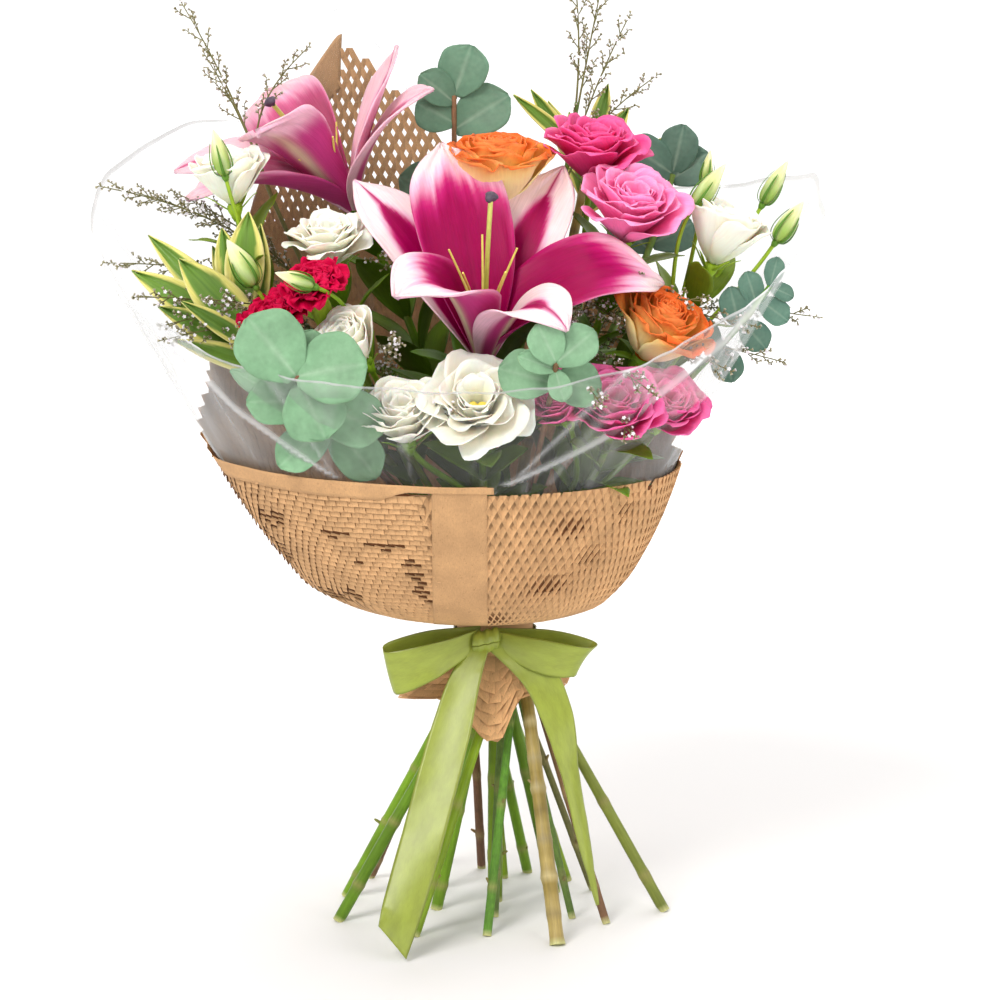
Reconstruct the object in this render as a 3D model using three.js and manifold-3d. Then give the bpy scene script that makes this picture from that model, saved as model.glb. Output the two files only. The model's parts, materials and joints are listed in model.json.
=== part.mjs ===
// A hand-tied bouquet of mixed cut flowers that stands on its splayed stems: two lilies, two roses, white
// and pink lisianthus, spray carnations, eucalyptus, striped foliage and sea lavender, held by a twine tie,
// with a clear film, a slit kraft paper wrap and a satin ribbon bow.
// Millimetres, +Z up, the front towards -Y. The origin is on the floor, at the cut end of the middle stem.

import * as THREE from "three";
import { mergeVertices } from "three/addons/utils/BufferGeometryUtils.js";
import Module from "manifold-3d";

const wasm = await Module();
wasm.setup();

// Driving sizes
const TIE_Z = 160; // height of the tie above the cut ends
const GAP = 0.3; // clearance between neighbouring pieces
const PETAL_T = 0.9; // thickness of a petal or leaf
const SHEET_T = 0.8; // thickness of the paper, film and ribbon
const INNER_R = 6.85; // ring of stems round the middle one, at the tie
const BUNCH_R = 16.95; // the whole bunch of stems, at the tie
const TWINE = { inner: 17.8, outer: 19.2, half: 4 };
const NECK = { low: 152, high: 168, kraft: 21.4, ribbon: 22.7 };
const FLARE = 0.58; // how far the film leans out over the paper's rim, for each mm up
const GOLDEN = THREE.MathUtils.degToRad(137.5);

const rad = THREE.MathUtils.degToRad;
const lerp = THREE.MathUtils.lerp;
const vec = (p) => new THREE.Vector3(...p);

// A repeatable draw from 0 to 1 for item i of a plant with this seed
function draw(seed, i) {
  const x = Math.sin(seed * 12.9898 + i * 78.233) * 43758.5453;
  return x - Math.floor(x);
}

// The value at x on the straight lines between the [x, value] pairs of a table
function along(table, x) {
  const found = table.findIndex(([at]) => at >= x);
  const k = found < 0 ? table.length - 1 : Math.max(1, found);
  const [[x0, y0], [x1, y1]] = [table[k - 1], table[k]];
  return lerp(y0, y1, Math.min(1, Math.max(0, (x - x0) / (x1 - x0))));
}

// A closed geometry as a solid
function solidOf(geometry) {
  geometry.deleteAttribute("normal");
  geometry.deleteAttribute("uv");
  const merged = mergeVertices(geometry, 1e-4);
  return new wasm.Manifold(
    new wasm.Mesh({
      numProp: 3,
      vertProperties: merged.attributes.position.array,
      triVerts: new Uint32Array(merged.index.array),
    }),
  );
}

// A thin closed sheet round a grid of points, rows[i][j]; wrapped joins the last row to the first.
function sheet(rows, thickness, grow, wrapped = false) {
  const across = rows.length;
  const down = rows[0].length;
  const row = (i) => rows[wrapped ? (i + across) % across : Math.min(across - 1, Math.max(0, i))];
  const pushed = rows.map((points) => points.map((p) => p.clone()));
  const push = (edge, from, inner) => edge.add(new THREE.Vector3().subVectors(from, inner).setLength(grow));
  for (let i = 0; i < across && grow > 0; i++) {
    push(pushed[i][0], rows[i][0], rows[i][1]);
    push(pushed[i][down - 1], rows[i][down - 1], rows[i][down - 2]);
  }
  for (let j = 0; j < down && grow > 0 && !wrapped; j++) {
    push(pushed[0][j], rows[0][j], rows[1][j]);
    push(pushed[across - 1][j], rows[across - 1][j], rows[across - 2][j]);
  }
  const front = [];
  const back = [];
  rows.forEach((points, i) =>
    points.forEach((p, j) => {
      const du = new THREE.Vector3().subVectors(row(i + 1)[j], row(i - 1)[j]);
      const [above, below] = [points[Math.max(j - 1, 0)], points[Math.min(j + 1, down - 1)]];
      const dv = new THREE.Vector3().subVectors(below, above);
      const n = du.cross(dv).setLength(thickness / 2 + grow);
      front.push(pushed[i][j].clone().add(n));
      back.push(pushed[i][j].clone().sub(n));
    }),
  );
  const at = (i, j) => (i % across) * down + j;
  const low = front.length;
  const spans = wrapped ? across : across - 1;
  const faces = [];
  for (let i = 0; i < spans; i++)
    for (let j = 0; j < down - 1; j++) {
      const [a, b, c, d] = [at(i, j), at(i + 1, j), at(i + 1, j + 1), at(i, j + 1)];
      faces.push(a, b, c, a, c, d, low + a, low + c, low + b, low + a, low + d, low + c);
    }
  const wall = (a, b) => faces.push(a, low + a, low + b, a, low + b, b);
  for (let i = 0; i < spans; i++) {
    wall(at(i, 0), at(i + 1, 0));
    wall(at(i + 1, down - 1), at(i, down - 1));
  }
  for (let j = 0; j < down - 1 && !wrapped; j++) {
    wall(at(across - 1, j), at(across - 1, j + 1));
    wall(at(0, j + 1), at(0, j));
  }
  const geometry = new THREE.BufferGeometry().setFromPoints([...front, ...back]);
  geometry.setIndex(faces);
  return solidOf(geometry);
}

// A blade over surface(u, v), with u from -1 to 1 across and v from 0 to 1 along
function blade(surface, across, down, grow) {
  const rows = Array.from({ length: across + 1 }, (_, i) =>
    Array.from({ length: down + 1 }, (_, j) => surface((2 * i) / across - 1, j / down)),
  );
  return sheet(rows, PETAL_T, grow);
}

// A curve run on in a straight line past both ends
class LongerCurve extends THREE.Curve {
  constructor(curve, extra) {
    super();
    this.curve = curve;
    this.extra = extra / curve.getLength();
  }

  getPoint(t) {
    const s = lerp(-this.extra, 1 + this.extra, t);
    const inside = Math.min(1, Math.max(0, s));
    const p = this.curve.getPointAt(inside);
    return p.addScaledVector(this.curve.getTangentAt(inside), (s - inside) * this.curve.getLength());
  }
}

// A round bar with few sides along a curve
function bar(curve, radius, sides, steps, grow) {
  const shape = new THREE.Shape();
  for (let k = 0; k < sides; k++) {
    const a = (2 * Math.PI * k) / sides;
    const r = radius + grow;
    if (k === 0) shape.moveTo(r * Math.cos(a), r * Math.sin(a));
    else shape.lineTo(r * Math.cos(a), r * Math.sin(a));
  }
  const extrudePath = grow > 0 ? new LongerCurve(curve, grow) : curve;
  return solidOf(new THREE.ExtrudeGeometry(shape, { steps, extrudePath, bevelEnabled: false }));
}

// A solid of revolution in a frame; the outline is [radius, height] pairs from its lowest point to its top.
function turned(frame, outline, sides, grow) {
  const top = outline.length - 1;
  const profile = outline.map(([r, h], i) => {
    const up = i === 0 ? -grow : i === top ? grow : 0;
    return new THREE.Vector2(r + grow, h + up);
  });
  profile.unshift(new THREE.Vector2(0, profile[0].y));
  profile.push(new THREE.Vector2(0, profile.at(-1).y));
  const geometry = new THREE.LatheGeometry(profile, sides);
  geometry.rotateX(Math.PI / 2);
  return solidOf(geometry.applyMatrix4(frame));
}

// The frame whose +Z points along aim
function frameAt(at, aim, roll = 0) {
  const z = vec(aim).normalize();
  const x = new THREE.Vector3(0, 0, 1).cross(z);
  if (x.lengthSq() < 1e-6) x.set(1, 0, 0);
  x.normalize().applyAxisAngle(z, rad(roll));
  const y = new THREE.Vector3().crossVectors(z, x);
  return new THREE.Matrix4().makeBasis(x, y, z).setPosition(vec(at));
}

// The frame of a leaf: +Z from base to tip, and -X the way its upper face looks
function leafFrame(base, tip, face) {
  const z = new THREE.Vector3().subVectors(tip, base).normalize();
  const x = vec(face).negate();
  x.addScaledVector(z, -x.dot(z)).normalize();
  const y = new THREE.Vector3().crossVectors(z, x);
  return new THREE.Matrix4().makeBasis(x, y, z).setPosition(base);
}

// Share of a blade's half-width at v: from base at the foot to 1 at its widest, then in to the tip
function outlineAt(v, { base, widest, blunt, tip }) {
  if (v < widest) return base + (1 - base) * Math.sin((Math.PI / 2) * (v / widest));
  return tip + (1 - tip) * Math.cos((Math.PI / 2) * ((v - widest) / (1 - widest)) ** blunt);
}

// The surface of a petal in the frame of its bloom. Its midline starts at from = [radius, height] and leans
// out from the axis by lean[0] degrees at the foot and lean[1] at the tip, with curl on top near the tip.
// bow is the radius of its curve across at both ends, in mm, or for a cupped petal as a share of the
// radius of its whorl.
function petalSurface(frame, p) {
  const steps = 12;
  const placed = new THREE.Matrix4().makeRotationZ(p.turn).premultiply(frame);
  const leanAt = (v) => rad(lerp(p.lean[0], p.lean[1], v ** p.ease) + p.curl * v ** 4);
  return (u, v) => {
    let [r, h] = p.from;
    for (let k = 0; k < steps; k++) {
      const a = leanAt((v * (k + 0.5)) / steps);
      r += (Math.sin(a) * p.length * v) / steps;
      h += (Math.cos(a) * p.length * v) / steps;
    }
    const a = leanAt(v);
    const half = (p.width / 2) * outlineAt(v, p);
    const whorl = p.cupped ? Math.max(r, 3) / Math.max(0.35, Math.cos(a)) : 1;
    const bow = lerp(p.bow[0], p.bow[1], v) * whorl;
    const turn = Math.min(1.7, half / bow) * u;
    const y = bow * Math.sin(turn);
    let lift = bow * (1 - Math.cos(turn)) + p.skew * u * half;
    lift += p.wave * v * v * Math.sin(p.waves * Math.PI * u + p.phase);
    lift += p.swell * u * u * v * Math.sin(3 * Math.PI * v + p.phase);
    return new THREE.Vector3(r - lift * Math.cos(a), y, h + lift * Math.sin(a)).applyMatrix4(placed);
  };
}

const PLAIN = {
  turn: 0,
  ease: 1,
  curl: 0,
  cupped: false,
  from: [0, 0],
  base: 0.3,
  widest: 0.6,
  blunt: 2,
  tip: 0.08,
  skew: 0,
  wave: 0,
  waves: 2,
  swell: 0,
  phase: 0,
};

function petal(frame, given, across, down) {
  const surface = petalSurface(frame, { ...PLAIN, ...given });
  return (grow) => blade(surface, across, down, grow);
}

// Petals of each kind of bloom, from its size
function lilyPetals(bloom) {
  return bloom.tepals.map(([turn, lean, curl, length, ease], i) => ({
    turn: rad(turn),
    length,
    width: i % 2 ? 42 : 56,
    lean: [i % 2 ? 22 : 16, lean],
    curl,
    ease,
    from: [3, i % 2 ? -1 : 0],
    base: 0.22,
    widest: 0.56,
    blunt: 1.7,
    cupped: true,
    bow: [1, i % 2 ? 0.4 : 0.55],
    swell: i % 2 ? 1 : 2.5,
    phase: i * 2.1,
  }));
}

function rosePetals({ size, seed }) {
  const count = 8;
  return Array.from({ length: count }, (_, i) => {
    const t = i / (count - 1);
    return {
      turn: i * GOLDEN + 0.4 * draw(seed, i),
      length: size * lerp(0.42, 0.68, t),
      width: size * lerp(0.42, 0.8, t),
      lean: [lerp(16, 72, t), lerp(-16, 2, t)],
      curl: 76 * t * t,
      ease: 0.8,
      from: [size * 0.06, size * lerp(0.24, 0, t)],
      base: 0.5,
      widest: 0.6,
      tip: 0.62,
      cupped: true,
      bow: [1, 1.02],
    };
  });
}

function lisianthusPetals({ size, seed, open }) {
  const count = 5;
  return Array.from({ length: count }, (_, i) => ({
    turn: (2 * Math.PI * (i + 0.3 * draw(seed, i))) / count,
    length: size * 0.76,
    width: size * 0.66,
    lean: [52, 6 + 34 * open],
    curl: 16 + 44 * open,
    ease: 0.8,
    from: [size * 0.04, 0],
    widest: 0.6,
    tip: 0.66,
    cupped: true,
    bow: [1, 1],
    skew: 0.26,
    wave: size * 0.015,
    waves: 2.5,
    phase: 2 * Math.PI * draw(seed, 40 + i),
  }));
}

function carnationPetals({ size, seed }) {
  const count = 7;
  return Array.from({ length: count }, (_, i) => {
    const t = i / (count - 1);
    return {
      turn: i * GOLDEN,
      length: size * lerp(0.44, 0.6, t),
      width: size * lerp(0.4, 0.56, t),
      lean: [lerp(4, 34, t), lerp(20, 112, t)],
      ease: 1.2,
      from: [size * 0.06, size * 0.04],
      base: 0.24,
      widest: 0.8,
      tip: 0.8,
      bow: [size * 0.12, size * 0.6],
      wave: size * 0.05,
      waves: 3,
      phase: 2 * Math.PI * draw(seed, i),
    };
  });
}

// For each kind: its petals, their grid, the core that holds them, and the green cup below
const KINDS = {
  lily: {
    petals: lilyPetals,
    grid: [2, 4],
    core: () => [[4, 0], [9, 10], [10.5, 20], [5, 22]],
    cup: [[3.1, -12], [4.4, -5], [4, 0]],
  },
  rose: {
    petals: rosePetals,
    grid: [2, 2],
    core: (s) => [[s * 0.08, 0], [s * 0.26, s * 0.1], [s * 0.24, s * 0.4], [s * 0.1, s * 0.52]],
    room: (s) => [[s * 0.1, 0], [s * 0.42, s * 0.16], [s * 0.5, s * 0.4], [s * 0.4, s * 0.62]],
    cup: [[3.1, -12], [5.6, -8], [5.4, -3], [4.2, 0]],
  },
  lisianthus: {
    petals: lisianthusPetals,
    grid: [2, 2],
    core: (s) => [[s * 0.08, 0], [s * 0.25, s * 0.14], [s * 0.24, s * 0.38], [s * 0.1, s * 0.5]],
    room: (s, open) => [
      [s * 0.12, 0],
      [s * 0.36, s * 0.14],
      [s * (0.5 + 0.3 * open), s * 0.42],
      [s * (0.5 + 0.3 * open), s * (0.74 - 0.14 * open)],
    ],
    cup: [[1.8, -10], [4.2, -5], [4.4, -2], [3.4, 0]],
  },
  carnation: {
    petals: carnationPetals,
    grid: [2, 2],
    core: (s) => [[s * 0.14, 0], [s * 0.2, s * 0.22], [s * 0.2, s * 0.36]],
    room: (s) => [[s * 0.16, 0], [s * 0.36, s * 0.2], [s * 0.5, s * 0.36], [s * 0.4, s * 0.56]],
    cup: [[1.8, -20], [5.2, -15], [6, -6], [4.6, 0]],
  },
};

// Blooms: where the foot of the petals is, the way they open, and their size. A lily's tepals are given one
// by one: turn, lean at the tip, further curl, length, and how late it leans.
const lisianthus = (at, aim, size, seed, open, color) => (
  { kind: "lisianthus", at, aim, size, seed, open, color }
);
const rose = (at, aim, size, seed, color) => ({ kind: "rose", at, aim, size, seed, color });
const carnation = (at, aim, size, seed) => ({ kind: "carnation", at, aim, size, seed, color: 0xb3123f });
const BLOOMS = {
  lily_front_petals: {
    kind: "lily",
    at: [-6, -46, 316],
    aim: [0, -0.5, 0.87],
    color: 0xc23a86,
    tepals: [
      [105, 56, 26, 126, 0.6],
      [136, 66, 12, 124, 0.6],
      [222, 26, 100, 106, 1.6],
      [64, 74, 1, 122, 0.6],
      [12, 98, 53, 126, 0.9],
      [-51, 34, 104, 105, 1.2],
    ],
  },
  lily_back_petals: {
    kind: "lily",
    at: [-78, 28, 392],
    aim: [-0.5, -0.25, 0.83],
    color: 0xd77bab,
    tepals: [
      [167, 47, 39, 94, 1.1],
      [63, 60, -16, 98, 0.6],
      [-44, 26, 56, 98, 1.4],
      [42, 73, 24, 98, 0.6],
      [262, 60, 30, 101, 0.6],
      [225, 72, 32, 112, 1.2],
    ],
  },
  rose_top_petals: rose([1, -6, 399], [0.02, -0.16, 0.98], 60, 1, 0xf28a2a),
  rose_right_petals: rose([80, -44, 320], [0.42, -0.4, 0.82], 58, 2, 0xf39a3a),
  white_far_petals: lisianthus([-141, -32, 402], [-0.12, -0.2, 0.97], 39, 3, 0.35, 0xf3f1df),
  white_mid_petals: lisianthus([-88, -36, 369], [-0.05, -0.35, 0.93], 37, 4, 0.8, 0xf6f3e8),
  white_side_petals: lisianthus([-70, -74, 322], [-0.5, -0.5, 0.7], 38, 5, 0.25, 0xf6f3e8),
  white_cup_petals: lisianthus([-46, -88, 281], [-0.12, -0.5, 0.86], 41, 6, 0.6, 0xf7f5ec),
  white_open_petals: lisianthus([-8, -90, 290], [-0.05, -0.74, 0.67], 46, 7, 1, 0xf8f6ee),
  white_right_petals: lisianthus([119, -18, 368], [0.36, -0.1, 0.93], 46, 8, 0.2, 0xf6f3ee),
  pink_back_petals: lisianthus([53, 14, 411], [0.12, -0.3, 0.94], 46, 9, 0.8, 0xd8408f),
  pink_high_petals: lisianthus([71, -22, 381], [0.2, -0.42, 0.88], 50, 10, 0.7, 0xe668ac),
  pink_dark_petals: lisianthus([38, -80, 292], [-0.3, -0.64, 0.7], 34, 11, 0.4, 0xd8338c),
  pink_low_petals: lisianthus([62, -76, 284], [0.1, -0.62, 0.78], 44, 12, 0.6, 0xdf4397),
  pink_edge_petals: lisianthus([88, -50, 284], [0.3, -0.62, 0.72], 38, 13, 0.6, 0xe2479b),
  carnation_high_petals: carnation([-94, -70, 354], [-0.2, -0.5, 0.84], 30, 14),
  carnation_low_petals: carnation([-113, -68, 336], [-0.4, -0.45, 0.8], 32, 15),
};

// Stems. "foot" is how far out the cut end is on the floor. A stem ends under a bloom, or at end with its
// last stretch along aim. Shoots, buds and sprays leave it a share of the way up from the tie; leaves are
// [foot, tip, width].
const STEMS = {
  stem_rose_top: { foot: 0, r: 3.7, bloom: "rose_top_petals", color: 0x5f8a2a },
  stem_lily_back: { foot: 38, r: 3, bloom: "lily_back_petals", color: 0x4d7a25 },
  stem_carnations: {
    foot: 46,
    r: 2.2,
    bloom: "carnation_high_petals",
    color: 0x6d9a35,
    shoots: [{ at: 0.6, r: 1.6, bloom: "carnation_low_petals" }],
  },
  stem_lily_front: { foot: 42, r: 3.1, bloom: "lily_front_petals", color: 0x3f6f22 },
  stem_pink_high: {
    foot: 37,
    r: 3,
    bloom: "pink_high_petals",
    color: 0x5f9430,
    shoots: [{ at: 0.45, r: 2, bloom: "pink_back_petals" }],
    leaves: [[[44, -2, 294], [87, -8, 306], 16]],
  },
  eucalyptus_high: {
    foot: 30,
    r: 2.6,
    end: [100, 42, 412],
    aim: [0.2, 0, 0.98],
    color: 0x6f9379,
    leaves: [
      [[100, 42, 410], [120, 40, 424], 25],
      [[99, 42, 412], [73, 30, 430], 24],
      [[101, 42, 415], [106, 40, 440], 22],
      [[86, 40, 372], [112, 48, 384], 26],
      [[84, 40, 370], [66, 44, 388], 24],
    ],
  },
  sea_lavender_right: {
    foot: 55,
    r: 1.8,
    end: [46, 44, 452],
    aim: [0.1, 0, 0.99],
    color: 0x8a8a6a,
    sprays: [
      { at: 0.9, tips: [[43, 40, 532], [60, 42, 520]] },
      { at: 0.8, tips: [[72, 44, 494], [84, 46, 462]] },
      { at: 0.5, tips: [[50, -44, 360], [62, -62, 344], [74, -52, 366]] },
      { at: 0.35, tips: [[168, -24, 340], [150, -40, 318]] },
    ],
  },
  striped_leaves_back: {
    foot: 89,
    r: 3.5,
    end: [54, 56, 424],
    aim: [0.15, 0, 0.98],
    color: 0x8faa3a,
    blades: [
      [0.86, [100, 48, 434], 16],
      [0.9, [42, 62, 446], 13],
      [0.93, [30, 62, 452], 12],
      [0.95, [20, 56, 459], 11],
      [0.96, [76, 64, 448], 13],
      [0.98, [10, 54, 456], 9],
      [0.99, [64, 58, 462], 11],
    ],
  },
  eucalyptus_top: {
    foot: 76,
    r: 2,
    end: [-23, 40, 456],
    aim: [0, 0, 1],
    color: 0x6f9379,
    leaves: [
      [[-24, 40, 439], [8, 38, 456], 29],
      [[-24, 40, 440], [-44, 38, 452], 25],
      [[-23, 40, 455], [-13, 40, 484], 29],
      [[-23, 40, 454], [-42, 34, 468], 20],
      [[-27, 42, 400], [-2, 46, 414], 26],
      [[-28, 42, 400], [-54, 44, 410], 26],
    ],
  },
  striped_leaves_left: {
    foot: 98,
    r: 2.8,
    end: [-138, -44, 342],
    aim: [-0.55, -0.1, 0.83],
    color: 0x8faa3a,
    blades: [
      [0.8, [-173, -60, 331], 14],
      [0.84, [-182, -50, 348], 18],
      [0.87, [-168, -62, 352], 12],
      [0.9, [-197, -38, 366], 20],
      [0.9, [-170, -52, 374], 25],
      [0.93, [-189, -25, 384], 16],
      [0.95, [-126, -42, 392], 16],
      [0.96, [-153, -35, 379], 13],
      [0.98, [-147, -45, 390], 18],
      [0.99, [-132, -48, 399], 22],
    ],
  },
  sea_lavender_left: {
    foot: 60,
    r: 1.7,
    end: [-134, 12, 430],
    aim: [-0.3, 0.1, 0.95],
    color: 0x8a8a6a,
    sprays: [
      { at: 0.95, tips: [[-170, 20, 503], [-156, 20, 472], [-109, 25, 478]] },
      { at: 0.6, tips: [[-205, -22, 408], [-190, -12, 404], [-168, -8, 402]] },
      { at: 0.5, tips: [[-202, -40, 370], [-172, -60, 340]] },
      { at: 0.42, tips: [[-186, -62, 354], [-146, -76, 352]] },
    ],
  },
  stem_white_far: {
    foot: 58,
    r: 2.6,
    bloom: "white_far_petals",
    color: 0x6d9a35,
    buds: [
      { at: 0.7, foot: [-144, -52, 418], tip: [-150, -54, 443], width: 9 },
      { at: 0.55, foot: [-128, -62, 360], tip: [-143, -60, 385], width: 12 },
    ],
  },
  stem_white_mid: {
    foot: 60,
    r: 2.6,
    bloom: "white_mid_petals",
    color: 0x5f9430,
    shoots: [{ at: 0.5, r: 1.8, bloom: "white_side_petals" }],
    buds: [{ at: 0.7, foot: [-95, -92, 363], tip: [-115, -98, 371], width: 8 }],
  },
  eucalyptus_left: {
    foot: 66,
    r: 2.2,
    end: [-103, -118, 319],
    aim: [-0.3, -0.62, 0.72],
    color: 0x7fa78c,
    leaves: [
      [[-104, -121, 322], [-128, -119, 350], 38],
      [[-102, -121, 321], [-66, -121, 326], 39],
      [[-102, -116, 312], [-88, -120, 286], 34],
      [[-102, -114, 314], [-94, -108, 342], 24],
      [[-98, -108, 298], [-130, -108, 304], 26],
      [[-97, -108, 298], [-58, -106, 288], 31],
      [[-92, -100, 280], [-114, -98, 268], 24],
      [[-91, -100, 280], [-62, -98, 262], 26],
      [[-88, -90, 290], [-124, -88, 340], 14],
      [[-88, -90, 288], [-140, -86, 318], 14],
    ],
  },
  stem_white_low: {
    foot: 84,
    r: 2.8,
    bloom: "white_open_petals",
    color: 0x5f9430,
    shoots: [{ at: 0.5, r: 2, bloom: "white_cup_petals" }],
  },
  eucalyptus_front: {
    foot: 86,
    r: 2,
    end: [32, -118, 326],
    aim: [0.1, -0.6, 0.79],
    color: 0x7fa78c,
    leaves: [
      [[33, -119, 330], [22, -121, 347], 20],
      [[33, -119, 329], [52, -119, 343], 22],
      [[31, -117, 322], [12, -121, 330], 12],
      [[31, -117, 322], [36, -121, 306], 13],
      [[28, -110, 314], [2, -110, 322], 27],
      [[29, -110, 313], [56, -108, 312], 25],
    ],
  },
  stem_pink_low: {
    foot: 86,
    r: 2.8,
    bloom: "pink_low_petals",
    color: 0x5f9430,
    shoots: [
      { at: 0.5, r: 1.8, bloom: "pink_dark_petals" },
      { at: 0.45, r: 1.8, bloom: "pink_edge_petals" },
    ],
  },
  stem_rose_right: { foot: 96, r: 2.9, bloom: "rose_right_petals", color: 0x4f7f2b },
  stem_white_right: {
    foot: 80,
    r: 2.8,
    bloom: "white_right_petals",
    color: 0x6d9a35,
    buds: [
      { at: 0.7, foot: [108, -20, 398], tip: [126, -16, 422], width: 10 },
      { at: 0.7, foot: [148, 6, 398], tip: [162, 8, 422], width: 9 },
      { at: 0.55, foot: [153, -24, 380], tip: [168, -22, 402], width: 10 },
      { at: 0.65, foot: [116, 8, 408], tip: [119, 8, 428], width: 6 },
    ],
  },
  eucalyptus_right: {
    foot: 66,
    r: 2.2,
    end: [150, -27, 356],
    aim: [0.55, 0, 0.83],
    color: 0x6f9379,
    leaves: [
      [[133, -28, 334], [128, -28, 356], 17],
      [[134, -28, 335], [148, -30, 322], 17],
      [[144, -27, 347], [137, -26, 364], 14],
      [[145, -27, 348], [160, -28, 337], 15],
      [[150, -27, 355], [154, -26, 372], 11],
      [[150, -27, 355], [163, -26, 350], 10],
      [[122, -28, 322], [104, -32, 337], 18],
      [[122, -28, 322], [130, -32, 304], 18],
    ],
  },
};

// The order of the stems round the tie, anticlockwise from above; each leans on to its flower in the same
// turn.
const MIDDLE = "stem_rose_top";
const INNER = [
  "stem_lily_back",
  "stem_carnations",
  "stem_lily_front",
  "stem_pink_high",
  "eucalyptus_high",
  "sea_lavender_right",
];
const OUTER = [
  "striped_leaves_back",
  "eucalyptus_top",
  "striped_leaves_left",
  "sea_lavender_left",
  "stem_white_far",
  "stem_white_mid",
  "eucalyptus_left",
  "stem_white_low",
  "eucalyptus_front",
  "stem_pink_low",
  "stem_rose_right",
  "stem_white_right",
  "eucalyptus_right",
];
const INNER_START = rad(105);
const OUTER_START = rad(14);
const ROUTE_POINTS = 9;

// A route from the tie to a stem's end, as points that can be bent clear of others
function routeTo(start, leaving, end, aim, r) {
  const reach = start.distanceTo(end);
  const curve = new THREE.CubicBezierCurve3(
    start,
    start.clone().addScaledVector(leaving, reach * 0.34),
    end.clone().addScaledVector(aim, -reach * 0.3),
    end,
  );
  return { points: curve.getPoints(ROUTE_POINTS), r };
}

// Where a stem or shoot ends, and the way it points there
function endOf(item) {
  const { at, aim } = item.bloom ? BLOOMS[item.bloom] : { at: item.end, aim: item.aim };
  const way = vec(aim).normalize();
  return { end: vec(at).addScaledVector(way, item.bloom ? -GAP : 0), way };
}

// Where a stem stands and passes the tie
function placeStem(name, turn, ringRadius) {
  const stem = STEMS[name];
  const waist = new THREE.Vector3(ringRadius * Math.cos(turn), ringRadius * Math.sin(turn), TIE_Z);
  const back = turn - Math.acos(ringRadius / Math.max(stem.foot, ringRadius, 1));
  const foot = new THREE.Vector3(stem.foot * Math.cos(back), stem.foot * Math.sin(back), 0);
  const leaving = new THREE.Vector3().subVectors(waist, foot).normalize();
  const { end, way } = endOf(stem);
  return { name, foot, waist, leaving, ...routeTo(waist, leaving, end, way, stem.r) };
}

function placeStems() {
  const placed = [placeStem(MIDDLE, 0, 0)];
  INNER.forEach((name, k) => placed.push(placeStem(name, INNER_START + (k * Math.PI) / 3, INNER_R)));
  const radii = OUTER.map((name) => STEMS[name].r);
  const spare = 0.77;
  const room = 2 * radii.reduce((sum, r) => sum + r, 0) + OUTER.length * spare;
  let turn = OUTER_START;
  OUTER.forEach((name, k) => {
    placed.push(placeStem(name, turn, BUNCH_R - radii[k]));
    turn += (2 * Math.PI * (radii[k] + radii[(k + 1) % radii.length] + spare)) / room;
  });
  return placed;
}

// Points every few millimetres along a route, with their place on it
function spotsOn(route) {
  const list = [];
  for (let k = 0; k < ROUTE_POINTS; k++) {
    const [a, b] = [route.points[k], route.points[k + 1]];
    const n = Math.ceil(a.distanceTo(b) / 4);
    for (let m = 0; m < n; m++) list.push({ t: k + m / n, p: a.clone().lerp(b, m / n) });
  }
  return list;
}

// The nearest two spots of two routes that are closer than need
function closest(a, b, need) {
  const joined = (a.route.parent ?? a.route) === (b.route.parent ?? b.route);
  let found = null;
  let least = need;
  for (const s of a.list)
    for (const q of b.list) {
      if (joined ? s.t < 2 || q.t < 2 : s.t < 0.25 && q.t < 0.25) continue;
      const d = s.p.distanceTo(q.p);
      if (d < least) [least, found] = [d, { s, q }];
    }
  return found && { ...found, least };
}

// Bends the free routes clear of each other and of the fixed ones. Their first point and last two stay.
function settle(free, fixed) {
  const bend = (route, t, push) => {
    for (let k = 1; k < ROUTE_POINTS - 1; k++)
      route.points[k].addScaledVector(push, Math.max(0, 1 - Math.abs(t - k) / 2));
  };
  const push = new THREE.Vector3();
  for (let round = 0; round < 60; round++) {
    const all = [...free, ...fixed].map((route) => ({ route, list: spotsOn(route) }));
    for (let i = 0; i < free.length; i++)
      for (let j = i + 1; j < all.length; j++) {
        const [a, b] = [all[i], all[j]];
        const need = a.route.r + b.route.r + 1.2;
        const pair = closest(a, b, need);
        if (!pair) continue;
        push.subVectors(pair.s.p, pair.q.p);
        if (push.lengthSq() < 1e-6) push.set(0.3, 0.2, 0.1);
        push.setLength((need - pair.least) * (j < free.length ? 0.5 : 1));
        bend(a.route, pair.s.t, push);
        if (j < free.length) bend(b.route, pair.q.t, push.negate());
      }
  }
}

const smooth = (points) => new THREE.CatmullRomCurve3(points, false, "centripetal");
const routes = placeStems();
settle(routes, []);
for (const route of routes) {
  const low = [1, 2].map((k) => route.foot.clone().lerp(route.waist, k / 3));
  const below = route.foot.clone().addScaledVector(route.leaving, -6);
  route.upper = smooth(route.points);
  route.curve = smooth([below, ...low, ...route.points]);
}

// Side shoots, to a bloom or a bud
function placeShoots() {
  const placed = [];
  for (const route of routes) {
    const stem = STEMS[route.name];
    const add = (at, end, way, r) => {
      const start = route.upper.getPointAt(at);
      const leaving = route.upper.getTangentAt(at);
      placed.push({ name: route.name, parent: route, ...routeTo(start, leaving, end, way, r) });
    };
    for (const shoot of stem.shoots ?? []) {
      const { end, way } = endOf(shoot);
      add(shoot.at, end, way, shoot.r);
    }
    for (const bud of stem.buds ?? []) {
      const way = new THREE.Vector3().subVectors(vec(bud.tip), vec(bud.foot)).normalize();
      add(bud.at, vec(bud.foot), way, 1.3);
    }
  }
  return placed;
}

const shoots = placeShoots();
settle(shoots, routes);
for (const shoot of shoots) shoot.upper = smooth(shoot.points);

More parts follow.
